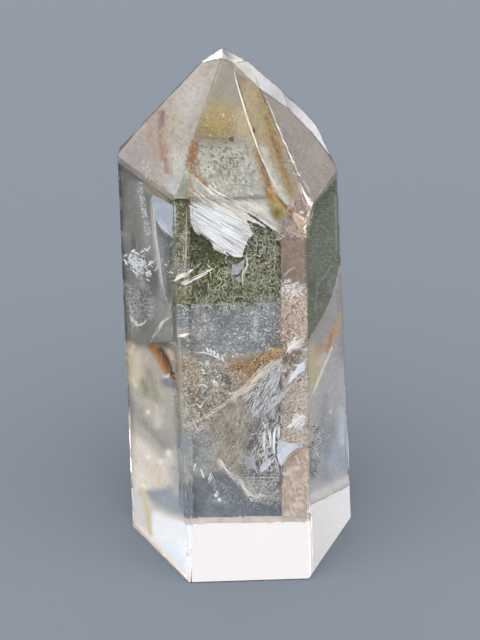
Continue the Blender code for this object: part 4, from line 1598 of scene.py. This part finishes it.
# Single lines that cross the stone
lineLook = {
    "copies": 3, "width": (0.05, 0.12), "depth": closeUnder, "spread": 0.3, "stagger": 0.25, "tints": white
}
lines = {
    "goldVein": dict(
        curve=[(284, 357), (268, 366), (256, 377), (248, 388), (238, 394), (226, 402)], copies=44,
        width=(0.02, 0.07), spread=2.4, stagger=0.9, wobble=1.6,
        tints=[(255, 253, 250), (242, 230, 212), (212, 186, 150)],
    ),
    "goldThread": dict(
        curve=[(234, 398), (220, 408), (206, 417.4), (193.5, 423), (186, 428)], copies=7, width=(0.02, 0.07),
        spread=0.8, stagger=0.5, tints=[(255, 250, 238), (236, 216, 180)],
    ),
    "combBack": dict(
        curve=[(193, 353), (203, 352.5), (212, 355), (222, 360), (230, 366)], width=(0.03, 0.07),
    ),
    "arcOne": dict(curve=[(195, 385), (204, 385), (211, 389)], width=(0.03, 0.08), spread=0.4),
    "arcTwo": dict(curve=[(226, 393), (233, 394), (239, 392)], copies=2, width=(0.03, 0.08)),
    "leftArc": dict(
        curve=[
            (150, 192), (152.5, 210), (154.5, 235), (157, 250), (159, 268), (161.5, 285), (166, 297),
            (171, 310),
        ],
        copies=26, width=(0.03, 0.12), spread=1.1, steps=18, stagger=0.8,
        tints=[(250, 244, 234), (206, 196, 182)],
    ),
    "triangleRim": dict(curve=[(157, 221), (164, 229), (172, 237)], copies=5, width=(0.02, 0.06), spread=0.5),
    "beadLine": dict(
        curve=[(147.5, 346), (156, 334), (162, 323), (173, 315.5)], copies=12, width=(0.03, 0.12), spread=1.0,
        stagger=0.85,
    ),
    "edgeLine": dict(
        curve=[(171, 406.5), (174, 427), (175, 447), (185, 470), (193, 481), (197, 492)], copies=8,
        width=(0.02, 0.05), spread=1, stagger=0.9, tints=[(206, 202, 190), (170, 168, 160)],
    ),
    "needleOne": dict(curve=[(197, 464), (194.5, 467), (194, 472)], copies=4, spread=0.4),
    "needleTwo": dict(curve=[(200, 467.6), (202, 472), (204.4, 479)], copies=4, spread=0.4),
    "needleThree": dict(curve=[(208, 483), (213, 472)], spread=0.8),
    "dotted": dict(curve=[(213.5, 455), (224, 466.7), (232, 478)], copies=12, spread=0.8, stagger=0.85),
    "ribOne": dict(curve=[(264, 430), (264.7, 455)], copies=5, spread=0.5),
    "ribTwo": dict(curve=[(269.6, 428), (271.4, 448)], copies=5, spread=0.5),
    "ribThree": dict(curve=[(275, 426), (273.5, 442), (274, 456)], copies=5, spread=0.6),
    "ribFour": dict(curve=[(279, 424), (278, 440)], copies=4, spread=0.5),
    "foldOne": dict(
        curve=[(290, 352), (276, 372), (264, 396), (252, 418)], copies=26, width=(0.02, 0.07),
        depth=(0.7, 1.2), spread=3.4, stagger=0.85, wobble=1.6, tints=[(246, 247, 250), (186, 190, 194)],
    ),
    "foldTwo": dict(
        curve=[(284, 396), (270, 404), (256, 410), (246, 413)], copies=12, width=(0.03, 0.08),
        depth=(0.7, 1.2), spread=1.2, stagger=0.7, tints=[(226, 228, 232), (176, 180, 184)],
    ),
    "mirrorEdge": dict(
        curve=[(304, 372), (295, 381), (283, 395), (270, 408), (257, 420)], copies=16, width=(0.03, 0.09),
        spread=1.3, stagger=0.85, tints=[(232, 232, 236), (186, 182, 180)],
    ),
    "shellRim": dict(
        curve=[(240.6, 476), (244, 488), (253, 496.5), (262, 497.5)], copies=10, width=(0.03, 0.08),
        spread=0.7, tints=[(240, 234, 224), (206, 200, 190)],
    ),
    "shellTop": dict(
        curve=[(214, 456), (226, 470), (236, 478), (246, 490), (258, 498), (276, 499)], copies=9,
        width=(0.02, 0.06), spread=1.8, stagger=0.93, tints=[(226, 220, 210), (170, 164, 156)],
    ),
    "stripSwoosh": dict(
        curve=[(283, 466), (288, 458), (296, 452), (306, 449)], copies=12, width=(0.03, 0.08),
        depth=(0.25, 0.4), spread=1.4, stagger=0.5, tints=[(190, 160, 132), (160, 130, 106)],
    ),
    "stripScratch": dict(
        curve=[(283, 278), (288, 271), (297, 266)], copies=5, width=(0.02, 0.06), depth=(0.25, 0.4),
        spread=1.2, stagger=0.4, tints=[(206, 196, 186), (180, 168, 156)],
    ),
    "pinkOne": dict(
        curve=[(173, 288), (186, 283), (200, 277), (213, 271)], copies=12, spread=1.2, stagger=0.85,
        tints=pinkish,
    ),
    "pinkTwo": dict(
        curve=[(172, 281), (180, 276), (188, 273), (193, 270)], copies=12, width=(0.05, 0.14), spread=1.1,
        stagger=0.8, tints=pinkish,
    ),
    "cellRim": dict(
        curve=[(229, 258), (237, 264), (247, 256), (248, 266), (243, 274), (243, 290)], copies=6,
        width=(0.03, 0.07), spread=0.7, stagger=0.6, tints=[(240, 240, 226), (196, 198, 180)],
    ),
    "cellCurve": dict(
        curve=[(232, 272), (235.5, 276), (240, 274), (241, 267)], copies=4, width=(0.04, 0.08), spread=0.4,
        tints=[(66, 68, 62), (90, 92, 84)],
    ),
    "pinkThree": dict(
        curve=[(175, 336), (183, 336), (192, 333)], copies=7, spread=0.8, stagger=0.5,
        tints=[(255, 250, 246), (236, 222, 212)],
    ),
    "stripFeather": dict(
        curve=[(285, 352), (291, 346), (302, 339)], copies=14, depth=(0.25, 0.35), spread=2.0, stagger=0.7,
    ),
    "starBurst": dict(
        curve=[(289, 430), (297, 422), (305, 415)], copies=18, depth=(0.25, 0.35), spread=2.4, stagger=0.8,
    ),
    "palePath": dict(
        curve=[(188, 200), (187.5, 225), (187, 260), (189, 306)], copies=7, width=(0.015, 0.05), spread=2.4,
        stagger=0.96, wobble=1.4, tints=[(226, 222, 206), (166, 160, 142)],
    ),
    "rustPath": dict(
        curve=[(191, 178), (190.5, 200), (190, 224)], copies=8, width=(0.02, 0.06), spread=1.2, stagger=0.9,
        tints=[(170, 124, 64), (140, 100, 54)],
    ),
    "leftRim": dict(
        curve=[(129.7, 404), (131, 440), (132.4, 476)], copies=14, width=(0.07, 0.12), depth=(0.1, 0.2),
        spread=0.4, steps=20, stagger=0.4, wobble=0.1, tints=[(222, 214, 200), (196, 188, 174)],
    ),
    "rightRim": dict(
        curve=[(345.8, 412), (347.2, 440), (348.8, 474)], copies=12, width=(0.07, 0.12), depth=(0.1, 0.2),
        spread=0.4, steps=20, stagger=0.4, wobble=0.1, tints=[(206, 212, 218), (182, 190, 198)],
    ),
    "toothOne": dict(curve=[(206, 348), (208, 353)], width=(0.08, 0.16)),
    "toothTwo": dict(curve=[(209.5, 348), (211.5, 354)], width=(0.1, 0.2)),
    "toothThree": dict(curve=[(213, 350), (215, 356)], width=(0.1, 0.22)),
    "toothFour": dict(curve=[(217, 353), (218, 359)], width=(0.1, 0.22)),
    "toothFive": dict(curve=[(221.5, 355), (223, 361)], width=(0.1, 0.2)),
    "starRayOne": dict(
        curve=[(196, 401), (200, 406.5), (204, 411)], copies=2, width=(0.03, 0.07), spread=0.2,
    ),
    "starRayTwo": dict(
        curve=[(204, 401), (200, 406.5), (199, 409)], copies=2, width=(0.03, 0.07), spread=0.2,
    ),
    "crossOne": dict(curve=[(202, 411), (207, 417.5), (211, 421)], copies=2, width=(0.02, 0.05), spread=0.2),
    "crossTwo": dict(curve=[(192, 418), (194, 424), (199, 432)], copies=2, width=(0.02, 0.05)),
    "smile": dict(
        curve=[(131, 315), (133, 321), (138, 325), (143, 323), (148, 317)], copies=9, width=(0.1, 0.34),
        depth=(0.5, 0.9), spread=0.9, stagger=0.6,
    ),
    "hook": dict(curve=[(143, 247), (147, 250), (151, 245)], width=(0.06, 0.16), spread=0.4),
    "creamRidge": dict(
        curve=[(232.5, 63), (239, 91), (247.5, 119), (258, 149), (270, 176), (287, 206)], copies=5,
        width=(0.03, 0.07), depth=(0.25, 0.25), steps=24, stagger=0.3, wobble=0.2,
        tints=[(212, 206, 188), (180, 172, 152)],
    ),
    "olivePoint": dict(
        curve=[(279, 198), (286, 206), (293, 215)], copies=6, depth=(0.25, 0.4), spread=0.5, stagger=0.4,
        tints=[(104, 72, 36), (140, 104, 62)],
    ),
    "frontLeftEdge": dict(
        curve=[(175, 300), (178, 340), (180, 400), (183, 440)], copies=9, width=(0.02, 0.06),
        depth=(0.4, 0.6), spread=0.7, stagger=0.9, tints=[(216, 208, 192), (166, 158, 144)],
    ),
    "chipLine": dict(
        curve=[(264, 92), (272, 112), (280, 132), (290, 154), (300, 176)], copies=8, width=(0.03, 0.06),
        depth=(0.3, 0.3), spread=0.4, steps=20, stagger=0.97, tints=[(206, 196, 192), (176, 164, 158)],
    ),
    "ochreEdge": dict(
        curve=[(142, 178), (152, 188), (163, 197), (172, 205)], copies=14, width=(0.04, 0.1), spread=0.8,
        stagger=0.7, tints=[(190, 162, 108), (150, 124, 82)],
    ),
    "splinters": dict(
        curve=[(303, 190), (311, 205), (310, 222), (303, 237)], copies=16, width=(0.04, 0.12),
        depth=(0.4, 0.7), spread=1.6, stagger=0.6, tints=[(230, 214, 200), (196, 176, 160)],
    ),
}
lineParts = series(strokes, lineLook, lines, seed=121)
addPiece("bright_lines", lineParts, mineral("brightLines", roughness=0.35, shine=0.4, mottle=0.05))

# White flakes and bubbles
flakeLook = {"depth": closeUnder, "soft": 0.5, "ragged": 0.6, "tints": [(255, 255, 255), (240, 242, 246)]}
flakes = {
    "leftCluster": dict(
        outline=[(122, 253), (144, 254), (147, 266), (142, 282), (134, 277), (124, 266)], count=130,
        size=(0.1, 0.4), flat=0.3, soft=1.5,
    ),
    "leftDrizzle": dict(
        outline=[(122, 280), (150, 282), (158, 316), (146, 330), (130, 326)], count=160, size=(0.07, 0.2),
        depth=(1, 2.2), pattern="net", cell=9, line=1.2, soft=1.5,
    ),
    "leftBeads": dict(outline=[(134, 292), (141, 292), (142, 318), (135, 318)], count=60, size=(0.06, 0.16)),
    "smile": dict(outline=[(130, 316), (136, 317), (138, 324), (132, 325)], count=20, size=(0.15, 0.4)),
    "beads": dict(
        outline=[(137, 182), (142, 182), (147, 210), (151, 234), (146, 237), (141, 212)], count=230,
        size=(0.06, 0.22), flat=0.8,
    ),
    "sideBeads": dict(
        outline=[(158, 236), (173, 240), (174, 306), (164, 300)], count=60, size=(0.05, 0.18), depth=(0.8, 2),
        flat=0.6,
    ),
    "rimBeads": dict(
        outline=[(154, 236), (159, 238), (163, 282), (159, 284), (156, 260)], count=50, size=(0.06, 0.2),
    ),
    "heart": dict(
        outline="heart", count=460, size=(0.06, 0.17), depth=(0.5, 1.2), pattern="patchy", patch=7, soft=3,
        tints=[(255, 255, 250), (236, 226, 210)],
    ),
    "heartSparks": dict(
        outline=[(199, 360), (208, 360), (222, 376), (220, 392), (206, 388)], count=60, size=(0.08, 0.2),
        flat=0.35,
    ),
    "combTeeth": dict(
        outline=[(204, 348), (212, 349), (223, 355), (225, 362), (214, 358), (204, 353)], count=16,
        size=(0.1, 0.2),
    ),
    "sparkOne": dict(
        outline=[(200.5, 369), (205, 369.5), (205, 374), (201, 374)], count=14, size=(0.15, 0.34),
    ),
    "sparkTwo": dict(
        outline=[(213, 380.5), (218, 382), (218, 386.5), (213, 386)], count=16, size=(0.15, 0.36),
    ),
    "sparkThree": dict(
        outline=[(198, 404.5), (202, 405), (202, 408.5), (198.5, 408)], count=12, size=(0.14, 0.3),
    ),
    "sparkFour": dict(
        outline=[(195.5, 397.5), (198.5, 398), (198.5, 401), (196, 401)], count=7, size=(0.12, 0.24),
    ),
    "bubbleTop": dict(
        outline=[(318, 435), (323, 437), (322, 447), (317, 448)], count=30, size=(0.1, 0.3), depth=(0.3, 0.6),
        flat=0.8,
    ),
    "bubbleLow": dict(
        outline=[(313, 446), (320, 448), (318, 459), (312, 458)], count=34, size=(0.1, 0.3), depth=(0.3, 0.6),
        flat=0.8,
    ),
    "bubbleDot": dict(
        outline=[(329, 410), (332.5, 410), (332.5, 414), (329, 414)], count=10, size=(0.12, 0.26),
        depth=(0.3, 0.6), flat=0.8,
    ),
    "columnTrail": dict(
        outline=[(311, 478), (319, 476), (334, 404), (326, 400), (312, 430)], count=220, size=(0.08, 0.24),
        depth=(0.3, 0.6), flat=0.6, tints=[(246, 244, 238), (196, 192, 184)],
    ),
    "stripStar": dict(
        outline=[(291, 416), (304, 414), (303, 430), (293, 429)], count=40, size=(0.1, 0.28),
        depth=(0.25, 0.4), flat=0.3,
    ),
    "dropOne": dict(outline=[(214, 495), (218, 490), (219, 495), (216, 497)], count=12, size=(0.2, 0.34)),
    "dropTwo": dict(outline=[(218, 497.5), (221, 497.5), (221, 501), (218, 501)], count=12, size=(0.2, 0.34)),
    "flameDot": dict(
        outline=[(163, 375), (169.5, 373.5), (170, 377), (164, 378.5)], count=30, size=(0.16, 0.34),
    ),
    "shell": dict(
        outline="shell", count=300, size=(0.04, 0.11), depth=(1, 2), pattern="net", cell=5, line=0.8,
    ),
    "ridgeSpecks": dict(
        outline=[(264, 94), (276, 106), (300, 142), (302, 182), (286, 146)], count=40, size=(0.03, 0.09),
        flat=0.7,
    ),
    "facetSpecks": dict(
        outline=[(262, 96), (310, 134), (334, 170), (312, 200), (290, 160)], count=130, size=(0.04, 0.09),
        depth=atSkin,
    ),
    "leftTipSpecks": dict(
        outline=[(142, 160), (150, 160), (150, 182), (143, 176)], count=50, size=(0.04, 0.12),
        depth=(0.2, 0.3), flat=0.7,
    ),
    "goldDots": dict(
        outline=[(222, 112), (224.5, 113), (224.5, 117), (222, 117)], count=6, size=(0.08, 0.16),
        depth=(0.2, 0.25),
    ),
}
flakeParts = series(scatter, flakeLook, flakes, seed=181)
addPiece("white_flakes", flakeParts, mineral("whiteFlakes", roughness=0.25, shine=0.5, mottle=0.04))

# Iron stains
stainLook = {"size": (0.07, 0.18), "soft": 1.5}
rustColours = [(90, 52, 12), (156, 104, 40), (216, 178, 112), (255, 246, 224)]
stains = {
    "band": dict(
        outline=[
            (228, 361), (237, 361), (251, 359), (265, 354), (284, 342), (287, 352), (270, 366), (256, 380),
            (238, 381),
        ],
        count=1300, depth=(0.5, 1.3), blur=0.8, tints=rustColours,
    ),
    "bandGold": dict(
        outline=[(258, 358), (270, 350), (284, 343), (286, 350), (272, 362)], count=420, depth=(0.6, 1.4),
        tints=[(216, 170, 84), (250, 232, 190)],
    ),
    "flame": dict(
        outline=[(150, 346), (158, 344), (166, 352), (176, 366), (176, 378), (168, 374), (158, 362)],
        count=120, size=(0.03, 0.08), depth=(0.4, 0.6), blur=0.8, tints=[(112, 60, 4), (200, 146, 74)],
    ),
    "clump": dict(
        outline=[(190, 141), (198, 140), (197, 151), (194, 160), (197, 168), (188, 164), (187, 155)],
        count=150, size=(0.08, 0.19), depth=atSkin, tints=[(84, 42, 0), (150, 92, 6), (224, 180, 104)],
    ),
    "gold": dict(
        outline=[(202, 112), (236, 110), (246, 122), (240, 134), (202, 138)], count=240, size=(0.06, 0.17),
        depth=atSkin, pattern="patchy", patch=4, soft=4, tints=[(136, 100, 0), (236, 206, 120), (96, 70, 0)],
    ),
    "clumpTail": dict(
        outline=[(189, 163), (195, 168), (206, 182), (203, 184), (193, 174), (187, 168)], count=60,
        size=(0.08, 0.18), depth=atSkin, tints=[(140, 90, 24), (206, 160, 90)],
    ),
    "ridgeRust": dict(
        outline=[(254, 146), (260, 150), (267, 170), (272, 190), (266, 190), (260, 170)], count=90,
        size=(0.08, 0.18), depth=atSkin, tints=[(120, 70, 10), (196, 150, 84)],
    ),
    "narrowRust": dict(
        outline=[(268, 122), (273, 124), (288, 172), (294, 196), (288, 194), (276, 152)], count=150,
        depth=(0.2, 0.3), soft=2, tints=[(150, 112, 56), (184, 150, 96)],
    ),
    "pinkRust": dict(
        outline=[
            (157, 104), (164, 108), (168, 130), (166, 158), (174, 174), (170, 175), (161, 160), (160, 134),
            (156, 120), (150, 124), (155, 150), (150, 152), (146, 124),
        ],
        count=200, size=(0.06, 0.14), depth=atSkin, tints=[(126, 84, 60), (196, 160, 130)],
    ),
    "rightBand": dict(
        outline=[(308, 360), (322, 346), (340, 322), (342, 340), (308, 372)], count=260, size=(0.03, 0.09),
        depth=(0.4, 0.7), tints=[(190, 140, 80), (236, 212, 170)],
    ),
    "heartGold": dict(
        outline=[(190, 392), (214, 388), (222, 400), (206, 424), (190, 422)], count=260, depth=(0.6, 1.4),
        pattern="patchy", patch=6, tints=[(132, 100, 50), (166, 136, 84)],
    ),
    "heartOlive": dict(
        outline=[(206, 366), (232, 370), (236, 392), (214, 396)], count=240, depth=(0.6, 1.4),
        pattern="patchy", patch=6, tints=[(104, 96, 66), (134, 122, 88)],
    ),
    "frontGold": dict(
        outline=[(176, 356), (202, 358), (208, 386), (194, 410), (180, 410)], count=700, depth=(0.8, 2),
        pattern="patchy", patch=8, blur=1.5, tints=[(180, 134, 66), (226, 204, 160)],
    ),
    "stripBrown": dict(
        outline=[(284, 352), (304, 349), (300, 362), (286, 372)], count=160, depth=(0.4, 0.7),
        tints=[(96, 66, 46), (150, 112, 84)],
    ),
    "mirrorBrown": dict(
        outline=[(292, 381), (300, 375), (302, 377), (294, 384)], count=50, depth=closeUnder, soft=0.5,
        tints=[(110, 80, 50), (140, 104, 70)],
    ),
    "veinStain": dict(
        outline=[(284, 356), (286, 364), (262, 390), (236, 404), (226, 402), (250, 382)], count=300,
        depth=(0.8, 1.6), blur=1.2, tints=[(190, 150, 100), (236, 214, 180)],
    ),
}
stainParts = series(scatter, stainLook, stains, seed=211)
addPiece("iron_stains", stainParts, mineral("ironStain", roughness=0.6, mottle=0.2))

# Dark specks
speckLook = {
    "depth": closeUnder, "flat": 0.6, "soft": 0.2, "ragged": 0.3, "tints": [(40, 20, 8), (70, 38, 18)],
}
specks = {
    "two": dict(
        outline=[(229.5, 136.5), (233, 136.5), (233, 140.5), (229.5, 140.5)], count=12, size=(0.18, 0.34),
    ),
    "ridge": dict(outline=[(252, 128), (254.5, 128), (254.5, 132), (252, 132)], count=7, size=(0.14, 0.26)),
    "clump": dict(
        outline=[(190, 139), (200, 139), (199, 147), (192, 146)], count=30, size=(0.06, 0.16),
        tints=[(60, 34, 10), (100, 60, 20)],
    ),
    "pepper": dict(
        outline=[(196, 141), (240, 141), (240, 160), (232, 180), (206, 176)], count=150, size=(0.06, 0.15),
        tints=[(70, 50, 20), (120, 96, 54)],
    ),
}
speckParts = series(scatter, speckLook, specks, seed=251)
addPiece("dark_specks", speckParts, mineral("darkSpecks", roughness=0.5, mottle=0.2))

# The skin of the broken corner and of the nicks: cream crumbs close under every small rough face
brokenSkin = {
    "seed": 301, "count": 4400, "size": (0.05, 0.18), "depth": (0.1, 0.4), "flat": 0.3,
    "tints": [(226, 212, 200), (206, 188, 174), (180, 160, 146)],
    "ridgeFrom": 72, "ridgeShare": 0.12,  # above this height in mm, on the ridge, only this share is kept
    "parallel": 0.9995,  # cosine of the angle to a polished plane within which a face is polished,
    "nearPlane": 0.05,  # if it is also this near to that plane in mm
    "clearance": 0.12,  # mm between a crumb's middle and the polish
}


def underBreaks(setting):
    # points drawn evenly over the rough triangles: a corner plus random shares of two sides, moved inwards
    rng = np.random.default_rng(setting["seed"])
    data = node.data
    count = len(data.polygons)
    corners, normals = np.empty(len(data.vertices) * 3), np.empty(count * 3)
    loops = np.empty(count * 3, int)
    data.vertices.foreach_get("co", corners)
    data.polygons.foreach_get("normal", normals)
    data.loops.foreach_get("vertex_index", loops)
    triangles = corners.reshape(-1, 3)[loops.reshape(-1, 3)] / mm
    normals = normals.reshape(-1, 3)
    offsets = np.einsum("ni,ni->n", normals, triangles[:, 0])
    parallel = normals @ planes[:, :3].T > setting["parallel"]
    polished = (parallel & (abs(offsets[:, None] - planes[:, 3]) < setting["nearPlane"])).any(axis=1)
    triangles, normals = triangles[~polished], normals[~polished]
    sides = triangles[:, 1:] - triangles[:, :1]
    areas = np.linalg.norm(np.cross(sides[:, 0], sides[:, 1]), axis=1)
    chosen = rng.choice(len(triangles), setting["count"], p=areas / areas.sum())
    share = rng.random((setting["count"], 2))
    share = np.where(share.sum(axis=1, keepdims=True) > 1, 1 - share, share)
    centres = triangles[chosen, 0] + np.einsum("ni,nij->nj", share, sides[chosen])
    centres = centres - normals[chosen] * rng.uniform(*setting["depth"], (setting["count"], 1))
    inStone = np.all(centres @ planes[:, :3].T - planes[:, 3] < -setting["clearance"], axis=1)
    corner = centres[:, 2] < setting["ridgeFrom"]
    centres = centres[inStone & (corner | (rng.random(len(centres)) < setting["ridgeShare"]))]
    sizes = rng.uniform(*setting["size"], len(centres))
    corners, faces = crumbs(centres, sizes, setting["flat"], rng)
    return corners, faces, cornerTints(setting, len(centres), len(crumbCorners), rng)


addPiece("broken_skin", [underBreaks(brokenSkin)], mineral("splinteredSkin", roughness=0.5, mottle=0.12))
